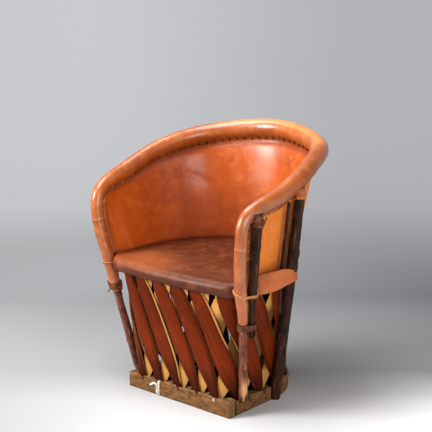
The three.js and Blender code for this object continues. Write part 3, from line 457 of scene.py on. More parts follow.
def new_piece(name, bm, materials, slot, nodes=(), sharp=None):
    mesh = bpy.data.meshes.new(name)
    bm.to_mesh(mesh)
    bm.free()
    for material in materials:
        mesh.materials.append(material)
    mesh.shade_smooth()
    if sharp:
        mesh.set_sharp_from_angle(angle=math.radians(sharp))
    piece = bpy.data.objects.new(name, mesh)
    bpy.context.scene.collection.objects.link(piece)
    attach(piece, "root")
    if nodes:
        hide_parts(*nodes)
    return piece


def tube_rings(path, radii, sides, flat=1.0, turn=0.0):
    """Rings round a path. flat squeezes the section, and radii is one number or one for each point."""
    rings, side = [], UP
    for i, point in enumerate(path):
        travel = (path[min(i + 1, len(path) - 1)] - path[max(i - 1, 0)]).normalized()
        side = side - travel * side.dot(travel)
        if side.length < 0.1:
            side = Vector((1, 0, 0)) - travel * travel.x
        side.normalize()
        other = travel.cross(side)
        radius = radii[i] if isinstance(radii, (list, tuple)) else radii
        rings.append([point + side * (radius * math.cos(a)) + other * (radius * flat * math.sin(a))
                      for a in (turn + (k + 0.5) * math.tau / sides for k in range(sides))])
    return rings


def tapered(count, radius, ends, over):
    """One radius for each point, smaller over a few points at both ends."""
    return [radius * mix(ends, 1, min(1, min(i, count - 1 - i) / over)) for i in range(count)]


def thong(bm, path, radius, ends, over, sides, flat, turn):
    """Adds a flat strip along a path, thinner over a few points at both ends."""
    loft(tube_rings(path, tapered(len(path), radius, ends, over), sides, flat, turn), bm=bm)


def curve(points, steps):
    """A smooth path through points in millimetres, in metres."""
    last = (len(points) - 1) * steps
    return [place(*through(points, i / steps)) for i in range(last + 1)]


def jitter(seed, spread):
    return random.Random(seed).uniform(-spread, spread)


# Materials


class Value:
    """A shader socket that takes part in sums."""

    def __init__(self, graph, socket):
        self.graph = graph
        self.socket = socket

    def _math(self, operation, *values):
        return self.graph.node("ShaderNodeMath", {"operation": operation}, list(values))

    def __add__(self, other):
        return self._math("ADD", self, other)

    def __sub__(self, other):
        return self._math("SUBTRACT", self, other)

    def __rsub__(self, other):
        return self._math("SUBTRACT", other, self)

    def __mul__(self, other):
        return self._math("MULTIPLY", self, other)

    def __truediv__(self, other):
        return self._math("DIVIDE", self, other)

    def __rtruediv__(self, other):
        return self._math("DIVIDE", other, self)

    def __pow__(self, other):
        return self._math("POWER", self, other)

    def __rpow__(self, other):
        return self._math("POWER", other, self)

    __radd__ = __add__
    __rmul__ = __mul__

    def least(self, other):
        return self._math("MINIMUM", self, other)

    def most(self, other):
        return self._math("MAXIMUM", self, other)


class Graph:
    """The node tree of one material."""

    def __init__(self, name):
        self.material = bpy.data.materials.new(name)
        self.material.use_nodes = True
        self.tree = self.material.node_tree
        self.shader = self.tree.nodes["Principled BSDF"]

    def node(self, kind, settings=None, inputs=None, output=0):
        made = self.tree.nodes.new(kind)
        for key, value in (settings or {}).items():
            if key == "stops":
                ramp = made.color_ramp
                while len(ramp.elements) < len(value):
                    ramp.elements.new(0.5)
                for element, (position, colour) in zip(ramp.elements, value.items()):
                    element.position = position
                    element.color = (*tone(colour), 1)
            else:
                setattr(made, key, value)
        pairs = inputs.items() if isinstance(inputs, dict) else enumerate(inputs or [])
        for key, value in pairs:
            self.feed(made.inputs[key], value)
        return Value(self, made.outputs[output])

    def feed(self, socket, value):
        if isinstance(value, Value):
            self.tree.links.new(value.socket, socket)
        elif isinstance(value, str):
            socket.default_value = (*tone(value), 1)
        elif isinstance(value, (tuple, list)) and len(value) == 3 and socket.type == "RGBA":
            socket.default_value = (*value, 1)
        else:
            socket.default_value = value

    def mapped(self, vector, scale=(1, 1, 1), location=(0, 0, 0)):
        return self.node("ShaderNodeMapping", None, {"Vector": vector, "Location": location, "Scale": scale})

    def place(self, scale=(1, 1, 1), location=(0, 0, 0)):
        return self.mapped(self.node("ShaderNodeTexCoord", output="Object"), scale, location)

    def surface(self, scale):
        return self.mapped(self.node("ShaderNodeUVMap", {"uv_map": "surface"}), (*scale, 1))

    def cloud(self, where, scale, detail=4.0, rough=0.55, twist=0.0):
        return self.node("ShaderNodeTexNoise", None, {
            "Vector": where, "Scale": scale, "Detail": detail, "Roughness": rough, "Distortion": twist})

    def cells(self, where, scale, feature="F1"):
        return self.node("ShaderNodeTexVoronoi", {"feature": feature}, {"Vector": where, "Scale": scale})

    def ramp(self, value, low, high):
        return self.node("ShaderNodeMapRange", {"interpolation_type": "SMOOTHSTEP"}, {
            "Value": value, "From Min": low, "From Max": high})

    def mark(self, name):
        return self.node("ShaderNodeAttribute", {"attribute_name": name}, output="Fac")

    def blend(self, factor, a, b):
        colours = {0: factor, 6: a, 7: b}
        return self.node("ShaderNodeMix", {"data_type": "RGBA", "clamp_factor": True}, colours, output=2)

    def bump(self, height, strength, distance):
        inputs = {"Height": height, "Strength": strength, "Distance": distance}
        return self.node("ShaderNodeBump", None, inputs)

    def set(self, **values):
        for key, value in values.items():
            self.feed(self.shader.inputs[key.replace("_", " ")], value)
        return self.material


def tone(hex_colour):
    """A colour as it is seen on a screen, in the linear numbers that a shader takes."""
    parts = [int(hex_colour[i:i + 2], 16) / 255 for i in (0, 2, 4)]
    return tuple(p / 12.92 if p <= 0.04045 else ((p + 0.055) / 1.055) ** 2.4 for p in parts)


def tones(*colours):
    """Colours as shader numbers, from hex texts or from settings."""
    return [tone(c) if isinstance(c, str) else tuple(c) for c in colours]


def dull(colour, share):
    return tuple(c * share for c in colour)


def leather(name, base, dark, light, rough, coat, seed=0.0, grain=1.0, painted_marks=False):
    """Tanned pigskin: broad mottling, pores, fine creases and lighter patches from wear; its marks may add
    painted shade and painted sheen.
    """
    g = Graph(name)
    base, dark, light = tones(base, dark, light)
    where = g.place(location=(seed, seed * 0.7, seed * 1.3))
    broad = g.ramp(g.cloud(where, 7, 5, 0.6, 0.4), 0.34, 0.68)
    patch = g.ramp(g.cloud(where, 26, 6, 0.62, 0.6), 0.45, 0.72)
    fleck = g.ramp(g.cloud(where, 120, 4, 0.6), 0.56, 0.74)
    pores = g.cells(where, 520 * grain)
    folds = g.cells(g.mapped(where, (1, 1, 0.6)), 150 * grain, "DISTANCE_TO_EDGE")
    colour = g.blend(broad * 0.8, base, dark)
    colour = g.blend(patch * 0.55, colour, light)
    colour = g.blend(fleck * 0.4, colour, dark)
    speck = g.ramp(g.cloud(where, 420, 3, 0.7), 0.52, 0.7)
    colour = g.blend(speck * 0.32, colour, dull(dark, 0.8))
    colour = g.blend(g.ramp(folds, 0.06, 0.0) * 0.18, colour, dark)
    if painted_marks:
        # Painted shade, partly grime, where the darkening mark says; then wear and painted sheen where the
        # lightening mark says.
        colour = g.blend(g.mark("crease"), colour, dull(dark, 0.3))
        bright = tuple(min(1, c * 1.9 + 0.01) for c in light)
        colour = g.blend(g.mark("worn"), colour, g.blend(g.ramp(broad + fleck, 0.3, 1.4), bright, light))
    height = g.cloud(where, 60, 5, 0.6) * 0.9 + folds * 0.5 + pores * 0.25
    normal = g.bump(height, 0.5, 0.0014)
    roughness = rough + broad * 0.08 + patch * 0.1 - fleck * 0.05
    return g.set(Base_Color=colour, Roughness=roughness, Normal=normal, Coat_Weight=coat,
                 Coat_Roughness=0.26, Specular_IOR_Level=0.22)


def suede(name, base, dark, light):
    """The flesh side of the hide: dry, fibrous and paler, with scratches."""
    g = Graph(name)
    base, dark, light = tones(base, dark, light)
    where = g.place()
    broad = g.ramp(g.cloud(where, 11, 5, 0.6), 0.35, 0.7)
    streak = g.ramp(g.cloud(g.place((1, 1, 0.12)), 90, 4, 0.6), 0.5, 0.75)
    nap = g.cloud(where, 420, 3, 0.7)
    colour = g.blend(broad, base, dark)
    colour = g.blend(streak * 0.4, colour, light)
    colour = g.blend(g.ramp(nap, 0.45, 0.7) * 0.25, colour, dark)
    normal = g.bump(nap * 0.7 + g.cloud(where, 45, 4) * 0.8, 0.4, 0.001)
    return g.set(Base_Color=colour, Roughness=0.82, Normal=normal, Specular_IOR_Level=0.25)


def split_slat(name, bark, bark_dark, bark_light, wood, wood_dark, shine):
    """A split slat: bark where its mark says, and pale fibrous wood elsewhere."""
    g = Graph(name)
    bark, bark_dark, bark_light, wood, wood_dark = tones(bark, bark_dark, bark_light, wood, wood_dark)
    grain = g.surface((420, 14))
    fibre = g.cloud(grain, 1, 4, 0.65)
    streak = g.ramp(g.cloud(g.surface((110, 5)), 1, 5, 0.6, 0.3), 0.36, 0.7)
    where = g.place()
    broad = g.cloud(where, 16, 4, 0.6)
    tip = g.mark("tip")
    tint = g.mark("tint")
    colour = g.blend(streak * 0.72, bark, bark_dark)
    colour = g.blend(g.ramp(broad, 0.5, 0.75) * 0.5, colour, bark_light)
    # Painted shade: the bark face darkens along its edges, where it turns away from the light, so the slats
    # read apart.
    colour = g.blend(g.mark("brink") * 0.8, colour, dull(bark_dark, 0.5))
    colour = g.blend(tint * 0.55, colour, bark_light)
    colour = g.blend(g.ramp(tip + (broad - 0.5) * 0.5, 0.05, 0.95) * 0.75, colour, dull(bark_dark, 0.5))
    scar = g.ramp(g.cloud(where, 60, 5, 0.7), 0.64, 0.72)
    colour = g.blend(scar * 0.6, colour, dull(bark_dark, 0.5))
    pale = g.blend(g.ramp(fibre, 0.42, 0.68), wood, wood_dark)
    pale = g.blend(g.ramp(broad, 0.52, 0.8) * 0.5, pale, wood_dark)
    pale = g.blend(tip * 0.35, pale, dull(wood_dark, 0.6))
    # Painted shade: an inner slat's split wood is darkened along the middle of its rise, where it lies behind
    # the outer slats.
    pale = g.blend(g.mark("aged") * 0.9, pale, dull(wood_dark, 0.2))
    edge = g.ramp(g.mark("bark") + (fibre - 0.5) * 0.35, 0.38, 0.58)
    colour = g.blend(edge, pale, colour)
    roughness = 0.72 - edge * shine + (1 - edge) * fibre * 0.15
    height = fibre * (1.1 - edge * 0.75) + broad * 0.5
    return g.set(Base_Color=colour, Roughness=roughness, Normal=g.bump(height, 0.45, 0.0012),
                 Specular_IOR_Level=0.05)


def stick_bark(name, base, dark, light, rough):
    """Round barked sticks: long cracks, lenticels and flaked patches."""
    g = Graph(name)
    base, dark, light = tones(base, dark, light)
    where = g.place()
    crack = g.cells(g.surface((120, 14)), 1, "DISTANCE_TO_EDGE")
    broad = g.cloud(where, 22, 5, 0.65, 0.5)
    flake = g.ramp(g.cloud(g.surface((60, 12)), 1, 5, 0.65), 0.52, 0.66)
    colour = g.blend(g.ramp(broad, 0.35, 0.7), base, dark)
    colour = g.blend(flake * 0.75, colour, light)
    colour = g.blend(g.ramp(crack, 0.1, 0.0) * 0.7, colour, dull(dark, 0.4))
    colour = g.blend(g.mark("bare"), colour, g.blend(g.cloud(g.surface((300, 12)), 1, 4), "e2b277",
                                                      "a86a3c"))
    height = g.cloud(where, 140, 5, 0.7) * 0.5 + flake * 0.5 + g.ramp(crack, 0.0, 0.2) * 0.9
    return g.set(Base_Color=colour, Roughness=rough + flake * 0.12, Normal=g.bump(height, 0.6, 0.0016),
                 Specular_IOR_Level=0.12)


def sawn_plank(name, base, dark, light):
    """Old sawn plank: grain along its length, dark specks and greyed, worn edges."""
    g = Graph(name)
    base, dark, light = tones(base, dark, light)
    where = g.place()
    grain = g.cloud(g.place((1.2, 1.2, 14)), 14, 6, 0.65, 0.9)
    rings = g.cloud(g.place((2.5, 2.5, 60)), 9, 3, 0.5, 1.5)
    speck = g.ramp(g.cloud(g.place((1, 1, 1.8)), 85, 6, 0.78), 0.55, 0.63)
    stain = g.ramp(g.cloud(g.place((1, 1, 2)), 22, 6, 0.7, 1.2), 0.44, 0.66)
    colour = g.blend(g.ramp(grain, 0.4, 0.62), base, dark)
    colour = g.blend(g.ramp(rings, 0.5, 0.6) * 0.6, colour, light)
    colour = g.blend(stain * 0.7, colour, dull(dark, 0.45))
    colour = g.blend(g.ramp(g.cloud(where, 9, 4), 0.5, 0.7) * 0.4, colour, "6f6149")
    colour = g.blend(speck * 0.85, colour, dull(dark, 0.18))
    colour = g.blend(g.mark("worn") * 0.55, colour, "8b6c48")
    pith = g.mapped(where, (0.1, 1, 1), (0, 0.19, 0.06))
    growth = g.node("ShaderNodeTexWave", {"wave_type": "RINGS", "rings_direction": "X"}, {
        "Vector": pith, "Scale": 55, "Distortion": 2.5, "Detail": 3, "Detail Scale": 2}, output="Fac")
    sawn_end = g.blend(g.ramp(growth, 0.3, 0.7), "8a653a", "54391d")
    colour = g.blend(g.mark("end") * 0.8, colour, g.blend(speck * 0.6, sawn_end, dull(dark, 0.2)))
    # Near black where the cut mark says: dark joints, painted shade in the notches and a painted contact
    # shadow at the foot.
    colour = g.blend(g.mark("cut") * 0.92, colour, "180e08")
    height = grain * 0.7 + rings * 0.5 - speck * 0.8
    return g.set(Base_Color=colour, Roughness=0.72 + stain * 0.12, Normal=g.bump(height, 0.7, 0.0018),
                 Specular_IOR_Level=0.3)


def rawhide(name, base, dark, light):
    """Narrow thong: stiff, dark and frayed paler."""
    g = Graph(name)
    base, dark, light = tones(base, dark, light)
    where = g.place()
    along = g.cloud(g.surface((500, 60)), 1, 4, 0.65)
    colour = g.blend(g.ramp(g.cloud(where, 90, 4, 0.6), 0.35, 0.65), base, dark)
    colour = g.blend(g.ramp(along, 0.5, 0.72) * 0.7, colour, light)
    return g.set(Base_Color=colour, Roughness=0.58, Normal=g.bump(along, 0.5, 0.0008),
                 Specular_IOR_Level=0.22)


def fibre_cord(name, base, dark):
    """Grey twisted cord."""
    g = Graph(name)
    base, dark = tones(base, dark)
    strand = g.cloud(g.surface((900, 260)), 1, 3, 0.6)
    soil = g.ramp(g.cloud(g.place(), 70, 4, 0.6), 0.42, 0.7)
    colour = g.blend(g.ramp(strand, 0.4, 0.7), base, dark)
    colour = g.blend(soil * 0.45, colour, "7d6a52")
    return g.set(Base_Color=colour, Roughness=0.9, Normal=g.bump(strand, 0.6, 0.0008))


def floor_paint(name):
    """Seamless studio paper, graded as painted light: darkest just behind the chair, pale far off and palest
    in front on the right.
    """
    g = Graph(name)
    where = g.place()
    x, y = (g.node("ShaderNodeSeparateXYZ", None, [where], output=axis) for axis in "XY")
    behind = y * 0.755 - x * 0.655
    beside = x * 0.755 + y * 0.655
    away = (x * x + y * y) ** 0.5
    depth = (behind + 0.5) / 6
    # The grades stand in for the lamps' fall-off on the paper: painted light.
    left, right = (g.node("ShaderNodeValToRGB", {"stops": stops}, {"Fac": depth}) for stops in (
        {0.0: "969696", 0.06: "989898", 0.13: "949495", 0.24: "8d8d8f", 0.36: "adaeb0", 0.55: "c4c5c8",
         1.0: "cccdd2"},
        {0.0: "ffffff", 0.055: "f6f6f4", 0.1: "9c9c9c", 0.25: "6f7073", 0.36: "8f9093", 0.55: "acadb1",
         1.0: "b7b8bd"}))
    colour = g.blend(g.ramp(beside + g.cloud(where, 0.9, 2) * 0.3, -0.9, 1.2), left, right)
    # Painted shadow: the floor inside the base's footprint is painted near black.
    inside = ((x * x + y.most(0.01) ** 2) ** 0.5).most(y * -1)
    g.set(Base_Color=g.blend(g.ramp(inside, 0.18, 0.165), colour, "0c0a09"), Roughness=0.85,
          Specular_IOR_Level=0.15)
    # Painted glow: from 1.1 m out, camera, glossy and transmission rays see the paper shine in its graded
    # colour, which lights nothing else.
    camera, glossy, through_glass = (g.node("ShaderNodeLightPath", output=f"Is {kind} Ray")
                                     for kind in ("Camera", "Glossy", "Transmission"))
    seen = (camera + glossy + through_glass).least(1)
    painted_glow = g.node("ShaderNodeEmission", None, {"Color": colour, "Strength": 1.0})
    matt = Value(g, g.shader.outputs[0])
    paper = g.node("ShaderNodeMixShader", None, [seen * g.ramp(away, 1.1, 2.2), matt, painted_glow])
    g.feed(g.tree.nodes["Material Output"].inputs[0], paper)
    return g.material


# Settings


def length_setting(name, description, default):
    return bpy.props.FloatProperty(name=name, description=description, default=default, unit="LENGTH",
                                   subtype="DISTANCE")


def colour_setting(name, description, default):
    return bpy.props.FloatVectorProperty(name=name, description=description, default=tone(default), size=3,
                                         subtype="COLOR")


def number_setting(name, description, default):
    return bpy.props.FloatProperty(name=name, description=description, default=default)


class EquipaleLeather(bpy.types.PropertyGroup):
    stitch_pitch: length_setting("Stitch pitch", "Distance between the stitches of the rim", 0.028)
    thong_radius: length_setting("Thong radius", "Half the width of the thong that laces the rim", 0.0016)
    swell: length_setting("Swell", "The furthest that the roll's leather may swell", 0.003)
    roll_colour: colour_setting("Roll", "Colour of the roll's leather", "a9551f")
    back_colour: colour_setting("Back", "Colour of the back leather inside", "b9520f")
    suede_colour: colour_setting("Suede", "Colour of the back leather outside", "cf7328")
    seat_colour: colour_setting("Seat", "Colour of the seat leather", "502007")


class EquipaleWood(bpy.types.PropertyGroup):
    bark_colour: colour_setting("Slat bark", "Colour of the bark on the slats", "6a2205")
    split_colour: colour_setting("Split wood", "Colour of the split faces", "cf9650")
    stick_colour: colour_setting("Stick bark", "Colour of the bark on the sticks", "3a2113")
    plank_colour: colour_setting("Planks", "Colour of the base planks", "7f5125")
    slat_rows: bpy.props.IntProperty(
        name="Slat rows", description="Rows of faces along a slat", default=44, min=9)
    plank_grain: length_setting("Plank wear", "How deep the planks are worn and sawn", 0.0011)


class EquipaleStage(bpy.types.PropertyGroup):
    lens: number_setting("Lens", "Focal length of the camera, in millimetres", 90.34)
    key_power: number_setting("Key light", "Power of the soft light on the left", 202.0)
    fill_power: number_setting("Fill light", "Power of the soft light on the right", 46.0)
    top_power: number_setting("Top light", "Power of the soft light above", 80.0)


# Stage


def floor_mesh():
    """A round floor that curves up into a wall."""
    bm = bmesh.new()
    verts = [bm.verts.new((r, 0, z)) for r, z in FLOOR_PROFILE]
    edges = [bm.edges.new(pair) for pair in zip(verts, verts[1:])]
    bmesh.ops.spin(bm, geom=verts + edges, cent=(0, 0, 0), axis=UP, angle=math.tau, steps=FLOOR_STEPS,
                   use_merge=True)
    bmesh.ops.remove_doubles(bm, verts=bm.verts, dist=0.0001)
    bmesh.ops.holes_fill(bm, edges=[e for e in bm.edges if e.is_boundary and e.verts[0].co.z < 1])
    bmesh.ops.recalc_face_normals(bm, faces=bm.faces)
    if sum(f.normal.z for f in bm.faces if f.calc_center_median().z < 0.01) < 0:
        bmesh.ops.reverse_faces(bm, faces=bm.faces)
    mesh = bpy.data.meshes.new("studio_floor")
    bm.to_mesh(mesh)
    bm.free()
    mesh.shade_smooth()
    return mesh


class EQUIPALE_OT_stage(bpy.types.Operator):
    """Makes the pale floor and wall, the soft lights and the camera"""

    bl_idname = "equipale.stage"
    bl_label = "Stage"

    def execute(self, context):
        settings = context.scene.equipale_stage
        scene = context.scene
        scene.view_settings.view_transform = "Standard"
        world = bpy.data.worlds.new("studio")
        scene.world = world
        world.use_nodes = True
        sky = world.node_tree.nodes["Background"].inputs
        sky["Color"].default_value = WORLD_COLOUR
        sky["Strength"].default_value = WORLD_STRENGTH
        mesh = floor_mesh()
        mesh.materials.append(floor_paint("studio_paper"))
        floor = bpy.data.objects.new("studio_floor", mesh)
        scene.collection.objects.link(floor)
        for name, (spot, aim, size) in LIGHTS.items():
            lamp = bpy.data.lights.new(name, "AREA")
            lamp.shape = "RECTANGLE"
            lamp.size, lamp.size_y = size
            lamp.energy = getattr(settings, f"{name}_power")
            light = bpy.data.objects.new(name, lamp)
            scene.collection.objects.link(light)
            light.location = spot
            light.rotation_mode = "QUATERNION"
            light.rotation_quaternion = (Vector(aim) - Vector(spot)).to_track_quat("-Z", "Y")
        lens = bpy.data.cameras.new("camera")
        lens.lens = settings.lens
        lens.sensor_width = SENSOR_WIDTH
        camera = bpy.data.objects.new("camera", lens)
        scene.collection.objects.link(camera)
        camera.location = CAMERA_PLACE
        camera.rotation_euler = (math.radians(CAMERA_TILT), 0, math.radians(CAMERA_TURN))
        scene.camera = camera
        return {"FINISHED"}


# Roll


def roll_profile(radius, flap, inner_flap, outer_flap):
    """Outer line of the roll's section, as depths and sides, from the inner flap's end to the outer one's."""
    lip = SLOT_HALF + ROLL_SKIN
    start = math.asin(min(0.9, (lip + 3.2) / radius))
    heel = min(1.4, flap * 0.12)

    def edge(own):
        return [(radius + own, lip * 0.72), (radius + own - min(1.0, own / 3), lip * 0.98),
                (radius + own * 0.66, lip + 0.1), (radius + own * 0.33, lip + 0.15),
                (radius * math.cos(start * 0.55) + heel, lip + 1.3)]

    arc = [mix(start, math.tau - start, i / LOBE_STEPS) for i in range(LOBE_STEPS + 1)]
    lobe = [(radius * math.cos(a), radius * math.sin(a)) for a in arc]
    return edge(inner_flap) + lobe + [(d, -s) for d, s in reversed(edge(outer_flap))]


def roll_inner(radius, inner_flap, outer_flap):
    inner = radius - ROLL_SKIN
    root = math.sqrt(inner * inner - SLOT_HALF * SLOT_HALF)
    arc = [mix(0.3, math.tau - 0.3, i / 12) for i in range(13)]
    return ([(radius + outer_flap, -SLOT_HALF), (root, -SLOT_HALF)]
            + [(inner * math.cos(a), inner * math.sin(a)) for a in reversed(arc)]
            + [(root, SLOT_HALF), (radius + inner_flap, SLOT_HALF)])


def flap_at(own):
    return mix(FIT, FLAP_LENGTH, smooth(own, FOOT_STOP, FOOT_STOP + 0.25))


def swell(rings, pinned, most):
    """Swells a skin with a short cloth simulation under pressure. No point moves further than most."""
    bm = loft(rings, open_section=True)
    mesh = bpy.data.meshes.new("swelling")
    bm.verts.ensure_lookup_table()
    layers = bm.verts.layers.int
    order, row = layers["order"], layers["row"]
    keys = [(v[row], v[order]) for v in bm.verts]
    bm.to_mesh(mesh)
    bm.free()
    thing = bpy.data.objects.new("swelling", mesh)
    bpy.context.scene.collection.objects.link(thing)
    group = thing.vertex_groups.new(name="held")
    for index, key in enumerate(keys):
        if key in pinned:
            group.add([index], pinned[key], "REPLACE")
    cloth = thing.modifiers.new("cloth", "CLOTH")
    held = cloth.settings
    held.quality = 4
    held.mass = 0.4
    held.tension_stiffness = held.compression_stiffness = held.shear_stiffness = 25
    held.bending_stiffness = 1.5
    held.use_pressure = True
    held.uniform_pressure_force = 4
    held.effector_weights.gravity = 0
    held.vertex_group_mass = "held"
    cloth.point_cache.frame_start, cloth.point_cache.frame_end = 1, CLOTH_FRAMES
    for number in range(1, CLOTH_FRAMES + 1):
        bpy.context.scene.frame_set(number)
    moved = thing.evaluated_get(bpy.context.evaluated_depsgraph_get()).data
    result = [list(ring) for ring in rings]
    for index, (k, i) in enumerate(keys):
        step = moved.vertices[index].co - rings[k][i]
        if step.length > most:
            step = step * (most / step.length)
        result[k][i] = rings[k][i] + step
    bpy.data.objects.remove(thing)
    bpy.context.scene.frame_set(1)
    return result


def stitch_runs(pitch):
    """The lengths at which the thong goes through the leather, along the laced part of the roll."""
    first = FOOT_STOP + LACED_MARGIN
    laced = even_stops(first, RIM_END - FOOT_STOP - LACED_MARGIN, STITCH_STEP)
    start = even_stops(1, first, STITCH_STEP)[-1][1]
    total = laced[-1][1]
    count = round(total / pitch)
    return [start + total * i / count for i in range(count + 1)]


def roll_sections(stitches):
    """Frames of the roll, each with its length run and how far it is laced, and its outer and inner rings."""
    frames, outer, inner = [], [], []
    for stop, run in roll_stops():
        f = RollFrame(stop)
        flap = flap_at(f.own)
        near = min(abs(run - s) for s in stitches)
        torn = 2.2 * uneven(run / 17, 9.7, 0) + 1.1 * uneven(run / 6, 4.2, 0)
        laced = smooth(flap, 2, 12)
        scallop = 2.4 + 2.2 * smooth(near, 1, 9) + 0.9 * uneven(run / 23, 3.1, 0)
        inner_flap, outer_flap = mix(flap, scallop, laced), flap + torn * laced
        radius = f.radius * mix(0.94, 1.0, smooth(f.own, 1.0, 1.2))
        frames.append((f, run, laced))
        outer.append([to_metres(f.spot(d, s)) for d, s in roll_profile(radius, flap, inner_flap, outer_flap)])
        inner.append([to_metres(f.spot(d, s)) for d, s in roll_inner(radius, inner_flap, outer_flap)])
    return frames, outer, inner


def roll_pins(frames, stitches, width):
    """How firmly each point of the skin is held while it swells: the stitched edges and the tongues."""
    pinned = {}
    for k, (f, run, _) in enumerate(frames):
        near = min(abs(run - s) for s in stitches)
        for i in range(width):
            away = min(i, width - 1 - i)
            grip = 1.0 if away < 5 else (smooth(6.5, near, near + 5) if away < 8 else 0.0)
            grip = max(grip, smooth(f.own, 3.6, 2.6))
            if grip > 0.01:
                pinned[(k, i)] = min(1.0, grip)
    return pinned


def roll_skin(frame, near, i, width, point):
    """A point of the roll's skin with its lumps and dips, and how much painted shade and painted highlight it
    has there.
    """
    f, run, laced = frame
    away = min(i, width - 1 - i)
    outside = i > width / 2
    out = (point - to_metres(f.centre)).normalized()
    lump = 0.0007 * noise.noise(point * 22) + 0.0004 * noise.noise(point * 60 + Vector((5, 0, 0)))
    dip = shade = bright = 0.0
    # Painted shade in the dents at each stitch and along the laced edge; the outer lip is darker, partly its
    # own rough edge and partly painted shade.
    if laced > 0.2 and away < 12:
        close = bell(near, 4.5)
        dip = 0.0016 * close * smooth(away, 12, 5) * laced
        shade = max(0.5 * close * smooth(away, 7.5, 5.5), 0.4 * smooth(away, 6.5, 5))
        if outside and away < 6:
            shade = max(shade, 0.5 + 0.3 * uneven(run / 9, i / 2, 1))
    if outside:
        # Painted shade, with some grime, on the roll's outer underside.
        shade = max(shade, 0.42 * smooth(away, 18, 9) * laced)
        # Painted highlight: a thin bright line where the roll's lobe turns into its outer lip.
        if 5 < away < 8:
            bright = 0.4 * laced * smooth(uneven(run / 30, 2, 2), -0.3, 0.3)
    if f.own < TONGUE_TOP:
        seam_point = EDGE_POINTS + (math.radians(233) - 0.4) / (math.tau - 0.8) * LOBE_STEPS
        seam = bell(i - seam_point, 0.7) * smooth(f.own, TONGUE_TOP, 3.7) * smooth(f.own, 2.0, 2.4)
        dip += 0.0006 * seam
        # Painted shade in the groove of the tongue's lapped seam.
        shade = max(shade, 0.35 * seam)
    for stop, ridge, line in PIECED_STOPS:
        dip -= 0.0007 * bell(f.own - stop - 0.03 * math.sin(i * 0.7), ridge)
        # Painted shade beside each piecing's ridge, and a lighter line along the ridge that is partly painted
        # highlight.
        shade = max(shade, 0.3 * bell(f.own - stop + 0.05, ridge))
        bright = max(bright, 0.5 * bell(f.own - stop, line))
    # Painted sheen: the upward-facing top of the rear roll is lightened.
    rear = smooth(point.y, 0.05, 0.2) * smooth(point.x, -0.27, -0.1)
    bright = max(bright, 0.5 * rear * smooth(out.z, 0.5, 0.95))
    return point + out * (lump - dip), shade, bright


class EQUIPALE_OT_roll(bpy.types.Operator):
    """Makes the padded roll of the rim, with its two tongues and its laced flaps"""

    bl_idname = "equipale.roll"
    bl_label = "Padded roll"

    def execute(self, context):
        settings = context.scene.equipale_leather
        stitches = stitch_runs(settings.stitch_pitch / MM)
        frames, outer, inner = roll_sections(stitches)
        width = len(outer[0])
        outer = swell(outer, roll_pins(frames, stitches, width), settings.swell)
        rings, crease, worn = [], [], []
        for frame, skin, lining in zip(frames, outer, inner):
            near = min(abs(frame[1] - s) for s in stitches)
            points, shades, lights = zip(*(roll_skin(frame, near, i, width, p) for i, p in enumerate(skin)))
            rings.append([*points, *lining])
            # Painted shade: the lining inside the roll and its slot is darkened.
            crease.append([*shades] + [0.9] * len(lining))
            worn.append([*lights] + [0.0] * len(lining))
        bm = loft(rings, marks={"crease": crease, "worn": worn})
        hide = leather("roll_leather", settings.roll_colour, "8f4212", "c97a38", 0.36, 1.0, painted_marks=True)
        roll = new_piece("padded_roll", bm, [hide], "rim_leather", ["rim_leather"])
        core = bpy.data.objects["rim_core"]
        core.material_slots[0].material = stick_bark("core_rod", "8a6a48", "5c4029", "b08a5c", 0.8)
        return {"FINISHED"}


# Back


def patch_edges():
    """Edge lines of the back leather's patch: top, right, left and foot."""
    def strip(first, last, count):
        return [RollFrame(mix(first, last, i / count)) for i in range(count + 1)]

    top = strip(BEND_STOP, RIM_END - BEND_STOP, 240)
    right = strip(FOOT_STOP, BEND_STOP, 60)
    left = strip(RIM_END - FOOT_STOP, RIM_END - BEND_STOP, 60)

    def edge(frames, deep):
        return Line([f.spot(f.radius + deep, 0) for f in frames])

    outer = [edge(f, FLAP_LENGTH + 2) for f in (top, right, left)]
    tucked = [edge(f, 4) for f in (top, right, left)]
    spots = [seat_foot(mix(SIDE_START, 1 - SIDE_START, i / 60)) for i in range(61)]
    spots = [outer[1].at(0)] + spots + [outer[2].at(0)]
    foot = Line([through(spots, i / 6) for i in range(62 * 6 + 1)])
    for point in foot.points:
        point.z = SEAT_TOP + 2 * FIT
    return outer, tucked, foot


def fold_depth(u, v, first, last, depth, width):
    """How far a fold, laid between two places of the back leather, moves the leather at u, v."""
    here = Vector((u * BACK_LENGTH, v * BACK_HEIGHT))
    a, b = (Vector((p[0] * BACK_LENGTH, p[1] * BACK_HEIGHT)) for p in (first, last))
    run = (here - a).dot(b - a) / (b - a).length_squared
    away = (here - a.lerp(b, limit(run))).length
    return depth * bell(away, width) * math.sin(math.pi * mix(0.15, 0.85, limit(run)))


def spanned(outer, foot, u, v):
    """A point of the surface between the patch's top, right and left lines and its foot."""
    top, right, left = outer
    point = foot.at(u) * (1 - v) + top.at(u) * v + right.at(v) * (1 - u) + left.at(v) * u
    for a, b, line in ((0, 0, foot), (1, 0, foot), (0, 1, top), (1, 1, top)):
        point = point - line.at(a) * ((u if a else 1 - u) * (v if b else 1 - v))
    return point


def waved(point, u, v):
    """The point moved by the waves and folds of the leather, least at its edges."""
    hang = math.sin(math.pi * min(1, v)) * math.sin(math.pi * u)
    out = (Vector((0, 190, 0)) - Vector((point.x, point.y, 0))).normalized()
    wave = uneven(u * 5.5, v * 1.6, 1.3) * 3.2
    wave += uneven(u * 19, v * 3.2, 7.3) * 0.9
    wave += sum(fold_depth(u, v, *fold) for fold in BACK_FOLDS)
    return point - out * wave * hang


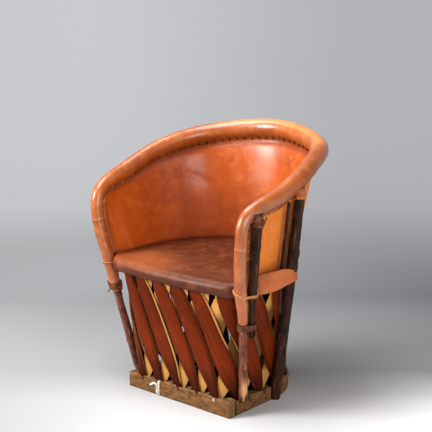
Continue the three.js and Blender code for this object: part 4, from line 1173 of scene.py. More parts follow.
def back_mesh():
    """The middle layer of the back leather, with its marks and UVs, facing the sitter."""
    outer, (top_in, right_in, left_in), foot = patch_edges()
    columns, rows = BACK_COLUMNS, BACK_ROWS
    raised = outer[1].at(0).z - foot.at(0).z
    bm = bmesh.new()
    bmesh.ops.create_grid(bm, x_segments=columns + 2, y_segments=rows + 2, size=1)
    uv = bm.loops.layers.uv.new("surface")
    crease = bm.verts.layers.float.new("crease")
    bm.verts.layers.float.new("worn")
    places = {}
    for vert in bm.verts:
        i = round((vert.co.x + 1) / 2 * (columns + 2))
        j = round((vert.co.y + 1) / 2 * (rows + 2)) - 1
        u, v = (i - 1) / columns, max(0, j / rows)
        places[vert] = (u, v)
        if j == rows + 1:
            point = top_in.at(u)
        elif i == 0:
            point = right_in.at(v)
        elif i == columns + 2:
            point = left_in.at(v)
        else:
            point = waved(spanned(outer, foot, u, v), u, v)
        sunk = (1 - v) ** 2 * raised
        if j < 0:
            sunk += 3.4 + 9 * (smooth(u, 0.035, 0.0) + smooth(u, 0.965, 1.0))
        point = point - upward(sunk)
        vert.co = to_metres(point)
        # Painted shade: the leather darkens along its foot at the seat and where it runs in under the roll.
        vert[crease] = 0.6 * smooth(v, 0.04, 0.0) + 0.25 * smooth(v, 0.14, 0.0)
        near_roll = max(smooth(v, 0.93, 1.0), smooth(u, 0.02, 0.0), smooth(u, 0.98, 1.0))
        vert[crease] = max(vert[crease], 0.4 * near_roll)
    for face in bm.faces:
        for item in face.loops:
            u, v = places[item.vert]
            item[uv].uv = (u * BACK_LENGTH * MM, v * BACK_HEIGHT * MM)
    bmesh.ops.recalc_face_normals(bm, faces=bm.faces)
    centre = Vector((0, 0, BACK_MIDDLE))
    middle = min(bm.faces, key=lambda f: sum(abs(c) for c in (f.calc_center_median() - centre).xz))
    if middle.normal.y > 0:
        bmesh.ops.reverse_faces(bm, faces=bm.faces)
    return bm


class EQUIPALE_OT_back(bpy.types.Operator):
    """Makes the stretched back leather, smooth inside and suede outside"""

    bl_idname = "equipale.back"
    bl_label = "Back leather"

    def execute(self, context):
        settings = context.scene.equipale_leather
        inside = leather("back_inside", settings.back_colour, "963c08", "cc6d2c", 0.34, 0.5, 3.7,
                         painted_marks=True)
        outside = suede("back_suede", settings.suede_colour, "ba6023", "e29a52")
        back = new_piece("back_hide", back_mesh(), [inside, outside], "back_leather", ["back_leather"])
        wall = back.modifiers.new("thickness", "SOLIDIFY")
        wall.thickness = BACK_SKIN * MM
        wall.offset = 0
        wall.material_offset = 1
        wall.material_offset_rim = 1
        return {"FINISHED"}


# Seat


def flap_value(share, values, places=FLAP_PLACES):
    """A flap measure at a share of the seat's edge, rounded off between its places."""
    def read(at):
        own = min(at % 1, 1 - at % 1)
        index = bisect.bisect_right(places, own)
        if index == 0 or index == len(places):
            return 0.0
        span = (own - places[index - 1]) / (places[index] - places[index - 1])
        return mix(values[index - 1], values[index], span)

    return sum(read(share + s * 0.0022) for s in (-2, -1, 0, 1, 2)) / 5


def seat_section(share):
    """Outward distances and heights of the seat leather's edge, from its top to its underside."""
    own = min(share, 1 - share)
    near = HOOP_RADIUS + FIT
    far = near + SEAT_SKIN
    bottom = HOOP_HEIGHT - SEAT_EDGE_DROP + 16 * smooth(own, 0.21, 0.272) * smooth(own, 0.305, 0.29)
    reach = FLAP_REACH * flap_value(share, FLAP_REACHES) + flap_value(share, WEB_REACHES, WEB_PLACES)
    lift = FLAP_LIFT * flap_value(share, FLAP_LIFTS)
    lean = reach + lift * FLAP_LEAN
    level = SEAT_TOP - FIT
    roll = SEAT_EDGE_ROLL
    rounded = 1 - smooth(own, 0.125, 0.16)

    def arc(degrees, radius):
        angle = math.radians(degrees)
        return reach + radius * math.cos(angle), HOOP_HEIGHT + radius * math.sin(angle)

    def between(square, round_one):
        return tuple(mix(a, b, rounded) for a, b in zip(square, round_one))

    skin = SEAT_SKIN
    return [
        (0, SEAT_TOP),
        between((near - skin / 2 + reach, level), arc(70, far)),
        between((near + lean, level + lift), arc(52, far + roll / 4)),
        between((near + skin * 0.8 + lean, level + lift - skin * 0.2), arc(32, far + roll * 0.6)),
        between((far + roll / 2 + reach, level + min(0, lift) - skin - roll / 2), arc(10, far + roll * 0.9)),
        between((far + roll + reach, HOOP_HEIGHT), arc(-18, far + roll)),
        between((far + reach, bottom), arc(-50, far + roll * 0.8)),
        between((near + reach, bottom), arc(-50, near + roll * 0.6)),
        between((near + roll + reach, HOOP_HEIGHT), arc(-18, near + roll * 0.6)),
        between((near + roll / 2 + reach, level + min(0, lift) - 2 * skin), arc(12, near + roll * 0.3)),
        between((near - skin / 2 + reach, level - skin), arc(45, near)),
        (0, SEAT_TOP - skin),
    ]


def front_wear_and_sheen(point):
    """How much the seat is lightened, most at its front on the left: partly wear and partly painted sheen."""
    return 0.4 * smooth(point.y, -0.09, -0.23) * mix(0.1, 1, smooth(point.x, 0.1, -0.14))


def seat_marks(share, k, point):
    """How much painted shade and how much lightening the seat's edge gets at a share of its line and a
    reading of its section.
    """
    own = min(share, 1 - share)
    corner = bell(own - 0.136 - 0.002 * k, 0.007) * smooth(k, 0.4, 1.2)
    fold = smooth(own, 0.17, 0.19) * smooth(own, 0.285, 0.275)
    fold *= bell(k - 2.7 - 28 * (own - 0.18), 0.5) if k < 6 else 0
    raised = bell(own - 0.143 - 0.001 * k, 0.003) * smooth(k, 0.6, 1.4)
    facet = smooth(own, 0.165, 0.2) * smooth(k, 1.4, 2) * smooth(own, 0.29, 0.28)
    # Painted shade on the edge's lower side and underneath, and in the corner and fold creases.
    crease = max(0.35 * smooth(k, 4.4, 6) if k < 7 else 0.5, 0.4 * corner, 0.3 * fold)
    # Lightened: a line along the raised corner, painted light on the flap's facets, and the front's wear and
    # painted sheen.
    worn = max(0.5 * raised, 0.9 * facet, front_wear_and_sheen(point) * smooth(k, 5, 2)) if k < 6.2 else 0.0
    return crease, worn


class EQUIPALE_OT_seat(bpy.types.Operator):
    """Makes the seat leather, stretched over its hoop and drawn out in two side flaps"""

    bl_idname = "equipale.seat"
    bl_label = "Seat leather"

    def execute(self, context):
        settings = context.scene.equipale_leather
        count = SEAT_STEPS
        shares = [i / count for i in range(count)]
        middle = Vector((0, SEAT_DEPTH / 2 - SEAT_OVERHANG, 0))
        sections = [seat_section(s) for s in shares]

        def level_ring(spread, drop):
            ring = []
            for share in shares:
                edge = seat_spot(share, 0, 0)
                point = middle.lerp(edge, spread)
                rise = SEAT_CROWN * (1 - spread ** 3)
                wave = 1.1 * uneven(point.x / 110, point.y / 110, 2) * (1 - spread)
                ring.append(place(point.x, point.y, SEAT_TOP + rise + wave - drop))
            return ring

        rings = [level_ring(s, 0) for s in SEAT_SPREADS]
        # The top grows slightly darker towards its edge.
        marks = [[0.12 * smooth(s, 0.8, 1.0)] * count for s in SEAT_SPREADS]
        shine = [[front_wear_and_sheen(point) for point in ring] for ring in rings]
        for k in EDGE_READS:
            ring = []
            for share, section in zip(shares, sections):
                outward, height = through(section, k) if k < 6 else section[round(k)]
                if 3 < k < 7:
                    outward += 0.9 * uneven(share * 60, k, 0)
                    height += (1.6 * uneven(share * 45, 3.3, 0)) * (1 if k >= 5.8 else 0)
                ring.append(to_metres(seat_spot(share, outward, height)))
            creases, worn = zip(*(seat_marks(share, k, point) for share, point in zip(shares, ring)))
            rings.append(ring)
            marks.append(creases)
            shine.append(worn)
        for spread in reversed(SEAT_SPREADS):
            rings.append(level_ring(spread, SEAT_SKIN))
            # Painted shade on the underside.
            marks.append([0.5] * count)
            shine.append([0.0] * count)
        bm = loft(rings, marks={"crease": marks, "worn": shine})
        skin = leather("seat_leather", settings.seat_colour, "481b07", "87441b", 0.44, 0.06, 8.1,
                       painted_marks=True)
        seat = new_piece("seat_hide", bm, [skin], "seat_leather", ["seat_leather"])
        return {"FINISHED"}


# Lacing


def stitch_lines(number, run, at):
    """A stitch's outer and inner line and the dark strip beside it, painted shade for the hole it goes
    through. at gives the roll's frame at a length.
    """
    slant = 3.2 + jitter(number, 1.6)
    reach = jitter(number + 500, 1.2)
    lip = SLOT_HALF + ROLL_SKIN
    a, b, c = at(run), at(run + slant), at(run + slant * 1.6)
    near, far = a.radius + 1.2, b.radius + FLAP_LENGTH + 3.5 + reach
    outside = [
        a.spot(near - 1.5, -lip * 0.85), a.spot(near + 1.0, -lip - 2.6), b.spot(near + 6, -lip - 1.7),
        b.spot(far - 5, -lip - 1.6), c.spot(far, -lip * 0.62), c.spot(far + 1.5, -0.4)]
    rim, sheet = a.radius, BACK_SKIN / 2
    inside = [
        a.spot(rim - 2.6, lip + 3.0), a.spot(rim - 0.2, lip + 3.1), b.spot(rim + 3.5, lip + 0.6),
        b.spot(rim + 7.2 + reach, sheet + 1.5), c.spot(rim + 8.6 + reach, sheet - 0.3)]
    d, e = at(run - 1.2), at(run - 3.4 + jitter(number + 900, 1.0))
    slit_shadow = [
        d.spot(rim - 3.4, lip + 2.6), d.spot(rim - 0.6, lip + 1.6), e.spot(rim + 3.2, sheet + 2.6),
        e.spot(rim + 6.4 - reach, sheet + 0.5), e.spot(rim + 8.8 - reach, sheet - 0.2)]
    return outside, inside, slit_shadow


class EQUIPALE_OT_lacing(bpy.types.Operator):
    """Makes the stitches that lace the back leather to the roll"""

    bl_idname = "equipale.lacing"
    bl_label = "Rim lacing"

    def execute(self, context):
        settings = context.scene.equipale_leather
        stitches = stitch_runs(settings.stitch_pitch / MM)
        stops = roll_stops()
        runs = [run for _, run in stops]

        def at(run):
            index, part = part_way(runs, run)
            return RollFrame(mix(stops[index][0], stops[index + 1][0], part))

        bm, slit_shadows = bmesh.new(), bmesh.new()
        radius = settings.thong_radius
        for number, run in enumerate(stitches):
            outside, inside, slit_shadow = stitch_lines(number, run, at)
            thong(bm, curve(outside, 3), radius * 1.2, 0.5, 2, 6, 0.6, 0.3)
            thong(bm, curve(inside, 3), radius * 1.05, 0.5, 2, 6, 0.6, 0.3)
            thong(slit_shadows, curve(slit_shadow, 3), radius * 0.95, 0.3, 3, 6, 0.6, 0.3)
        lace = rawhide("rim_thong", "c4713a", "83431c", "e8aa74")
        new_piece("rim_stitches", bm, [lace], "thong", ["rim_lacing"])
        # Painted shade: a dark strip beside each stitch stands for the shadow in its hole.
        shade = rawhide("slit_shade", "5a2310", "331308", "7a3a1c")
        new_piece("rim_slits", slit_shadows, [shade], "thong")
        return {"FINISHED"}


# Slats


def node_points(node):
    """The points of a CAD node's mesh, each once."""
    seen = {}
    for vert in bpy.data.objects[node].data.vertices:
        seen[tuple(round(c * 20000) for c in vert.co)] = vert.co.copy()
    return list(seen.values())


def levels(points):
    """Points in level rings, lowest first."""
    rings = []
    for point in sorted(points, key=lambda p: p.z):
        if rings and point.z - rings[-1][0].z < LEVEL_GAP:
            rings[-1].append(point)
        else:
            rings.append([point])
    return rings


def slat_tracks(node, layer):
    """Six lines up a slat: the split face's two edges and middle, and the bark face's."""
    rows = []
    for ring in levels(node_points(node)):
        pairs = [(a, b) for a in ring for b in ring]
        left, right = max(pairs, key=lambda pair: (pair[0] - pair[1]).length)
        across = (right - left).normalized()
        out = across.cross(UP)
        centre = sum(ring, Vector()) / len(ring)
        if out.dot(centre - Vector((0, -0.03, centre.z))) < 0:
            across, out, left, right = -across, -out, right, left
        ordered = sorted(ring, key=lambda p: (p - centre).dot(across))
        middle = sorted(ordered[2:4], key=lambda p: (p - centre).dot(out) * layer)
        rows.append([ordered[0], middle[0], ordered[5], ordered[4], middle[1], ordered[1]])
    return rows


def clearance(one, other):
    """The least gap between two slats' edges, in the middle of their length."""
    gaps = []
    for share in (0.35, 0.45, 0.55, 0.65):
        spots = [[Vector(through([ring[k] for ring in tracks], share * (len(tracks) - 1)))
                  for k in (0, 2, 3, 5)] for tracks in (one, other)]
        gaps.append(min((a - b).length for a in spots[0] for b in spots[1]))
    return min(gaps)


def slat_rings(tracks, layer, rows, seed, grow, pale_edges):
    """Rings of a slat, widened in the middle by grow at each edge. pale_edges says how split each edge is."""
    last = len(tracks) - 1
    lines = [[ring[k] for ring in tracks] for k in range(6)]
    rings, bark, tip, tint, aged, brink = [], [], [], [], [], []
    shade = random.Random(seed).uniform(0, 1) ** 2
    broad_left, broad_right = (1.0 - 0.16 * p for p in pale_edges)

    def bow(a, b, c, s):
        """A bowed line through three points, with s from -1 to 1."""
        return b + (c - a) * (s / 2) + (a + c - b * 2) * (s * s / 2)

    for j in range(rows + 1):
        share = j / rows
        position = last * share ** 1.25
        l, s, r, br, b, bl = (Vector(through(line, position)) for line in lines)
        out = (b - s).normalized()
        wobble = 0.0008 * uneven(share * 5, seed * 3.7, 0)
        across = (r - l).normalized()
        sway = across * wobble
        wider = grow * math.sin(math.pi * share) ** 0.8 + FOOT_FULLNESS * bell(share - 0.24, 0.11)
        wider = across * (wider if layer > 0 else 0.0)
        l, bl, r, br = l - wider, bl - wider, r + wider, br + wider
        edge_l = 0.0007 * uneven(share * 12, seed, 5)
        edge_r = 0.0007 * uneven(share * 12, seed, 9)
        crown = (b - s).length
        ring = [bow(l, s, r, x) + out * (0.0006 * uneven(share * 22, k * 2, seed))
                for k, x in enumerate(SPLIT_STEPS)]
        face = []
        for x in (broad_right, broad_right * 0.93, *FACE_STEPS, -broad_left * 0.93, -broad_left):
            rounded = 0.18 + 0.82 * (1 - abs(x) ** 2.6) if abs(x) > 0.75 else 1 - 0.14 * abs(x) ** 2
            face.append(bow(l, s, r, x) + out * (crown * rounded))
        ring += [r.lerp(br, 0.16) + across * edge_r, r.lerp(br, 0.62) + across * edge_r * 0.6]
        bare_left, bare_right = (p * smooth(uneven(share * 3, seed, k * 7), -0.55, 0.1)
                                 for k, p in enumerate(pale_edges))
        ring += [br.lerp(face[1], 0.35) + across * edge_r * 0.3] + face[2:7] + [
            bl.lerp(face[7], 0.35) - across * edge_l * 0.3]
        ring += [l.lerp(bl, 0.62) - across * edge_l * 0.6, l.lerp(bl, 0.16) - across * edge_l]
        rings.append([p + sway for p in ring])
        bark.append([0.0] * 6 + [1 - bare_right, 1 - bare_right * 0.9, 1 - bare_right * 0.3] + [1.0] * 5
                    + [1 - bare_left * 0.3, 1 - bare_left * 0.9, 1 - bare_left])
        rise = (s.z - lines[1][0][2]) / (lines[1][-1][2] - lines[1][0][2])
        tip.append([smooth(rise, 0.42, 0.02)] * len(ring))
        # Painted shade along both edges of the bark face.
        brink.append([0.0] * 7 + [0.9, 0.8, 0.12] + [0.0] * 3 + [0.12, 0.8, 0.9, 0.0])
        tint.append([shade] * len(ring))
        # Painted shade on the inner slats, along the middle of their rise.
        aged.append([smooth(rise, 0.16, 0.26) * smooth(rise, 0.84, 0.74) if layer < 0 else 0.0] * len(ring))
    return rings, {"bark": bark, "tip": tip, "tint": tint, "aged": aged, "brink": brink}


class EQUIPALE_OT_slats(bpy.types.Operator):
    """Makes the crossed slats, each with one bark face and split edges"""

    bl_idname = "equipale.slats"
    bl_label = "Slats"

    def execute(self, context):
        settings = context.scene.equipale_wood
        split = (settings.split_colour, "a8713a")
        outer = split_slat("outer_slat_bark", settings.bark_colour, "3a1204", "84310c", *split, 0.28)
        inner = split_slat("inner_slat_wood", "5e2816", "35160c", "74361c", *split, 0.2)
        for layer, kind, material in ((1, "outer", outer), (-1, "inner", inner)):
            tracks = [slat_tracks(f"{kind}_slat_{number:02d}", layer) for number in range(1, SLAT_COUNT + 1)]
            for number in range(1, SLAT_COUNT + 1):
                node = f"{kind}_slat_{number:02d}"
                own = tracks[number - 1]
                gap = min(clearance(own, tracks[number - 2]), clearance(own, tracks[number % SLAT_COUNT]))
                grow = min(0.003, max(0.0, (gap - 0.006) / 2)) if layer > 0 else 0.0
                rings, marks = slat_rings(own, layer, settings.slat_rows, number * 2 + (layer > 0), grow,
                                          PALE_EDGES.get(number, USUAL_EDGES) if layer > 0 else INNER_EDGES)
                bm = loft(rings, marks=marks)
                slot = "bark_slat" if layer > 0 else "split_slat"
                new_piece(f"{kind}_strip_{number:02d}", bm, [material], slot, [node], sharp=50)
        return {"FINISHED"}


# Sticks


def stick_rings(node, seed, knots, slim=1.0):
    """Rings of a barked stick, read from its CAD solid's level rings."""
    rows = []
    for ring in levels(node_points(node)):
        centre = sum(ring, Vector()) / len(ring)
        radius = sum((p - centre).length for p in ring) / len(ring)
        rows.append((*centre, radius * slim))
    line = Line([through(rows, i / 4)[:3] for i in range((len(rows) - 1) * 4 + 1)])
    steps = max(12, round(line.length / 0.008))
    spots = [through(rows, i / 4) for i in range((len(rows) - 1) * 4 + 1)]
    return round_rings([Vector(spots_at(spots, line, i / steps)[:3]) for i in range(steps + 1)],
                       [spots_at(spots, line, i / steps)[3] for i in range(steps + 1)], seed, knots)


def spots_at(spots, line, share):
    index, part = part_way(line.runs, share * line.length)
    return [mix(a, b, part) for a, b in zip(spots[index], spots[index + 1])]


def round_rings(centres, radii, seed, knots, bare=None, cut=None):
    """Uneven rings round a stick's centre line, with knots and rounded ends."""
    rings, marks = [], []
    last = len(centres) - 1
    for i, (centre, radius) in enumerate(zip(centres, radii)):
        travel = (centres[min(last, i + 1)] - centres[max(0, i - 1)]).normalized()
        side = (Vector((1, 0, 0)) - travel * travel.x).normalized()
        other = travel.cross(side)
        if min(i, last - i) < 2:
            side, other = Vector((1, 0, 0)), Vector((0, 1, 0))
        share = i / last
        end = min(i, last - i)
        shrink = (0.9, 0.975, 1.0)[min(2, end)]
        ring, bared = [], []
        for k in range(STICK_SIDES):
            angle = k * math.tau / STICK_SIDES
            ridge = 0.03 * math.sin(3 * angle + seed + share * 2.5) + 0.018 * math.sin(5 * angle + seed * 2)
            lump = 0.05 * uneven(math.cos(angle) * 1.3, math.sin(angle) * 1.3, share * 9 + seed)
            lump += 0.045 * uneven(math.cos(angle) * 3, math.sin(angle) * 3, share * 40 + seed)
            for where, turn in knots:
                near = bell(share - where, 0.018)
                lump += 0.16 * near * max(0.0, math.cos(angle - turn)) ** 2
            own = radius * shrink * (0.965 + ridge + lump)
            if cut:
                own = min(own, radius * cut(share, angle))
            ring.append(centre + side * (own * math.cos(angle)) + other * (own * math.sin(angle)))
            bared.append(bare(share, angle) if bare else 0.0)
        rings.append(ring)
        marks.append(bared)
    return rings, {"bare": marks}


def front_post_rings(sign):
    """Rings of a front post inside a tongue of the roll, split off to a wedge at its foot."""
    frames = [RollFrame(s if sign > 0 else RIM_END - s) for s, _ in even_stops(0.03, 2.98, 7)]
    centres = [to_metres(f.centre) for f in frames]
    radii = [(f.radius - ROLL_SKIN - 2 * FIT) * MM for f in frames]

    def bare(share, angle):
        if sign < 0:
            return 0.0
        return smooth(share, 0.2, 0.1) * smooth(math.cos(angle + 0.5), 0.55, 0.85)

    def split(share, angle):
        facing = math.cos(angle + 0.5) * sign
        return mix(0.1, 1.0, smooth(share, 0, 0.13)) / facing if facing > 0.1 else 2.0

    knots = [(0.42, 5.0), (0.2, 4.0), (0.1, 2.2)]
    return round_rings(centres, radii, sign * 2.3, knots, bare, split)


def hoop_rings():
    rings = []
    for i in range(HOOP_STEPS):
        share = i / HOOP_STEPS
        ring = []
        for k in range(HOOP_SIDES):
            angle = k * math.tau / HOOP_SIDES
            lump = 0.05 * uneven(math.cos(angle), math.sin(angle), share * 30)
            radius = HOOP_RADIUS * (1 + lump - 0.04)
            height = HOOP_HEIGHT + radius * math.sin(angle)
            ring.append(to_metres(seat_spot(share, radius * math.cos(angle), height)))
        rings.append(ring)
    return rings, {"bare": [[0.0] * HOOP_SIDES] * HOOP_STEPS}


class EQUIPALE_OT_sticks(bpy.types.Operator):
    """Makes the barked sticks, the front posts and the hoop under the seat"""

    bl_idname = "equipale.sticks"
    bl_label = "Sticks and hoop"

    def execute(self, context):
        settings = context.scene.equipale_wood
        dark_bark = stick_bark("dark_bark", settings.stick_colour, "1c100c", "6e4233", 0.6)
        red_bark = stick_bark("red_bark", "7c4733", "4a2a20", "b98066", 0.6)
        hoop_bark = stick_bark("hoop_bark", "7a5638", "4b3121", "9b7850", 0.75)
        for number, (name, knots) in enumerate((
            ("rear_side_post", [(0.72, 0.4), (0.45, 2.5)]), ("thin_stick", [(0.4, 1)]),
            ("prop_stick", [(0.3, 5.2), (0.8, 1)]), ("back_post", [(0.3, 4.5), (0.66, 1.5)]),
        )):
            for side, seed in (("right", 1), ("left", 2)):
                node = f"{name}_{side}"
                slim = 0.6 if name == "thin_stick" else 1.0
                rings, marks = stick_rings(node, number * 5 + seed * 1.7, knots, slim)
                new_piece(f"{name}_bark_{side}", loft(rings, marks=marks), [dark_bark], "bark_stick", [node])
        for side, sign in SIDES:
            rings, marks = front_post_rings(sign)
            node = f"front_post_{side}"
            new_piece(f"front_post_bark_{side}", loft(rings, marks=marks), [red_bark], "bark_stick", [node])
        rings, marks = hoop_rings()
        bm = loft(rings, is_loop=True, marks=marks)
        new_piece("hoop_bark", bm, [hoop_bark], "bent_rod", ["seat_hoop"])
        return {"FINISHED"}


# Planks


def worn_blank(node):
    """The CAD plank in small even faces with softened edges, and its points before the softening."""
    bm = bmesh.new()
    bm.from_mesh(bpy.data.objects[node].data)
    bmesh.ops.remove_doubles(bm, verts=bm.verts, dist=0.00001)
    mesh = bpy.data.meshes.new("blank")
    bm.to_mesh(mesh)
    bm.free()
    blank = bpy.data.objects.new("blank", mesh)
    bpy.context.scene.collection.objects.link(blank)
    remesh = blank.modifiers.new("voxels", "REMESH")
    remesh.mode = "VOXEL"
    remesh.voxel_size = VOXEL
    bpy.context.view_layer.update()
    bm = bmesh.new()
    bm.from_mesh(blank.evaluated_get(bpy.context.evaluated_depsgraph_get()).data)
    bpy.data.objects.remove(blank)
    sharp = {v.index: v.co.copy() for v in bm.verts}
    for _ in range(2):
        bmesh.ops.smooth_vert(bm, verts=bm.verts, factor=0.5, use_axis_x=True, use_axis_y=True,
                              use_axis_z=True)
    bm.normal_update()
    bm.verts.index_update()
    return bm, sharp


def worn_point(number, p, normal, softened, top_height, depth):
    """A plank's point after its wear, how much wear it shows, how dark it is in a joint or with painted
    shade, and how much on end grain.
    """
    saw = uneven(p.x * 18, p.y * 18, p.z * 160 + number) * 0.5
    saw += uneven(p.x * 60, p.y * 60, p.z * 60) * 0.5
    top = smooth(p.z, top_height - 0.012, top_height - 0.002)
    chip = max(0.0, uneven(p.x * 38, p.y * 38, 3.3 + number) - 0.12) * top
    worn = min(1.0, softened / 0.0012) * (0.5 + 0.5 * noise.noise(p * 90)) + 0.4 * top
    vee = joint = 0.0
    if number in (1, 2) and abs(p.x) > END_FACE - 0.018:
        vee = max(0.0, 1 - abs(p.y - FRONT_Y - NOTCH_PLACE - 0.004 * math.sin(p.z * 90)) / 0.0085)
        vee *= smooth(p.z, top_height - 0.026, top_height - 0.004)
    if number < 3:
        joint = max(0.0, 1 - abs(p.y - FRONT_Y - PLANK_THICKNESS * MM) / 0.0042)
    # Painted contact shadow: a dark line along the plank's foot, just above the floor.
    contact_shadow = smooth(p.z + 0.0015 * noise.noise(p * 40), 0.0042, 0.0012)
    # The cut mark: dark joints, painted shade in the vee notches and the painted contact shadow.
    cut = min(1.0, max(vee * 1.2, joint * 1.5, contact_shadow * 0.8))
    end = smooth(abs(p.x), END_FACE - 0.004, END_FACE - 0.001) * (number == 0)
    point = p + normal * (depth * (saw - 0.35) - 0.0016 * joint) - UP * (chip * 0.009 + vee * 0.014)
    if point.z < GROUND_GAP:
        point.z = 0.0
    return point, worn, cut, end


class EQUIPALE_OT_planks(bpy.types.Operator):
    """Makes the worn, sawn planks of the base from their CAD solids"""

    bl_idname = "equipale.planks"
    bl_label = "Base planks"

    def execute(self, context):
        settings = context.scene.equipale_wood
        wood = sawn_plank("sawn_plank", settings.plank_colour, "573314", "a06c34")
        for number, node in enumerate(PLANKS):
            bm, sharp = worn_blank(node)
            worn, cut, end = (bm.verts.layers.float.new(name) for name in ("worn", "cut", "end"))
            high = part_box(node)[1].z
            for vert in bm.verts:
                softened = (sharp[vert.index] - vert.co).length
                vert.co, vert[worn], vert[cut], vert[end] = worn_point(
                    number, vert.co, vert.normal, softened, high, settings.plank_grain)
            new_piece(node + "_wood", bm, [wood], "plank", [node])
        return {"FINISHED"}


# Straps, lashings and cord


def stick_line(node):
    """A stick's level rings in millimetres: the centre and the radius of each."""
    rows = []
    for ring in levels(node_points(node)):
        centre = sum(ring, Vector()) / len(ring)
        rows.append((centre.x / MM, (centre.y - FRONT_Y) / MM, centre.z / MM,
                     sum((p - centre).length for p in ring) / len(ring) / MM))
    return rows


def belt(rows_list, angle, height, gap):
    """A point of a band round several sticks, at an angle about them."""
    def reach(row):
        return row[0] * math.cos(angle) + row[1] * math.sin(angle) + row[3]

    circles = [at_height(rows, height)[0] for rows in rows_list]
    row = max(circles, key=reach)
    offset = row[3] + gap
    return Vector((row[0] + offset * math.cos(angle), row[1] + offset * math.sin(angle), height))


def roll_rows(shrink=0.0):
    return [(x, y, z, r - shrink) for x, y, z, r in RIM_RIGHT[:5]]


def neck_rings(rows, stop, rise, fall, sign):
    """Rings of a leather neck that ties a stick's top up to the roll, with a ragged hem below."""
    axis = RollFrame(stop)
    x, y, top, radius = rows[-1]
    lean = (axis.centre - Vector((x, y, axis.centre.z))).normalized() * (rise / 3)
    # Each point's height and distance out of the stick, its painted shade, and its lightening by wear and
    # painted sheen.
    outline = (
        (rise, 8.5, 0.5, 0), (rise * 0.7, 5.2, 0.2, 0), (rise * 0.35, 2.9, 0.1, 0.1), (0, 3.2, 0.25, 0),
        (-fall * 0.5, 2.9, 0.1, 0), (-fall, 3.3, 0.0, 0.15), (-fall - 3, 4.4, 0.0, 0.6),
        (-fall - 4, 3.4, 0.4, 0.4), (-fall - 2, 0.7, 0.9, 0), (0, 0.5, 0.9, 0),
        (rise * 0.5, 0.2, 0.9, 0), (rise * 0.9, 1.2, 0.9, 0))
    rings = []
    for i in range(NECK_STEPS):
        angle = i * math.tau / NECK_STEPS
        facing = facing_at(angle)
        hem = 3.5 * noise.noise(facing * 1.7 + upward(sign * 5 + stop))
        ring = []
        for up, out, _, _ in outline:
            own = up - hem * smooth(-up, 0, fall)
            row = at_height(rows, top + min(0, own))[0]
            share = max(0.0, up / rise)
            ripple = 1 + 0.3 * math.sin(angle * 7 + up * 0.1) * (out > 2.5)
            point = Vector((row[0], row[1], top + own)) + lean * share + facing * (radius + out * ripple)
            away = point - axis.centre
            away -= axis.travel * away.dot(axis.travel)
            over = max(0.0, away.length - axis.radius - 1.2)
            point -= away.normalized() * (over * share ** 2)
            ring.append(to_metres(point, sign))
        rings.append(ring)
    _, _, shades, lights = zip(*outline)
    return rings, {"crease": [shades] * NECK_STEPS, "worn": [lights] * NECK_STEPS}


def strap_rings(sticks, sign, tilt):
    """Rings of the seat strap round a tongue and its prop."""
    # Each point's height as a share of half the strap, its distance out, its painted shade, and its
    # lightening by wear and painted sheen.
    outline = ((-1, 0.2, 0.5, 0.5), (-1, 2.0, 0.2, 0.5), (-0.7, 2.7, 0.0, 0.15), (0, 2.3, 0.2, 0),
               (0.7, 2.8, 0.0, 0.15), (1, 2.1, 0.1, 0.6), (1, 0.3, 0.5, 0.5), (0, 0, 0.8, 0))
    rings = []
    for i in range(STRAP_STEPS):
        angle = i * math.tau / STRAP_STEPS
        wave = 1.3 * uneven(math.cos(angle) * 1.5, math.sin(angle) * 1.5, sign * 3)
        middle = HOOP_HEIGHT + 6 - 8.5 - tilt * math.cos(angle) + wave
        half = mix(4.2, 9, smooth(math.sin(angle), 0.1, 0.9))
        half += 1.0 * uneven(math.cos(angle) * 2, math.sin(angle) * 2, 8)
        rings.append([to_metres(belt(sticks, angle, middle + half * high, 1.4 + out), sign)
                      for high, out, _, _ in outline])
    _, _, shades, lights = zip(*outline)
    return rings, {"crease": [shades] * STRAP_STEPS, "worn": [lights] * STRAP_STEPS}


def wind(bm, sticks, sign, count, turn, route, radius, ends, flat):
    """Adds a thong wound round sticks. route gives its height and gap at a step and an angle."""
    path = []
    for i in range(count):
        angle = i * math.tau / WIND_STEPS + turn
        path.append(to_metres(belt(sticks, angle, *route(i, angle)), sign))
    thong(bm, path, radius, ends, 3, 8, flat, 0.4)


def loose_end(bm, points, sign, radius, ends, over, flat, turn):
    path = curve([(p.x * sign, p.y, p.z) for p in points], 4)
    thong(bm, path, radius, ends, over, 8, flat, turn)


def lower_binding(sticks, low, sign):
    """Two strands round the tongue and its prop, with three loose ends. low is the lowest turn's height."""
    bm = bmesh.new()
    for strand in range(2):
        def route(i, _, strand=strand):
            wobble = 2.2 * uneven(i / 11, strand * 7, sign)
            gap = 1.4 + 2.1 + 1.1 * strand + 0.7 * uneven(i / 6, strand, 4)
            return low + 6.4 * i / WIND_STEPS + wobble + strand * 1.5, gap

        wind(bm, sticks, sign, round(BINDING_TURNS * WIND_STEPS), strand * 2.4, route, 0.0024, 0.5, 0.7)
    ends = ((-0.6, low - 1, -14), (-1.4, low + 19, 15), (-0.1, low + 8, -20))
    for number, (angle, height, lean) in enumerate(ends):
        a = belt(sticks, angle, height, 5)
        out = facing_at(angle)
        points = [a, a + out * 3 + upward(lean * 0.3), a + out * 5 + Vector((2, 1, lean * 0.7)),
                  a + out * 3.5 + Vector((4, 2, lean))]
        loose_end(bm, points, sign, 0.0024, 0.3, 4, 0.55, number)
    return bm


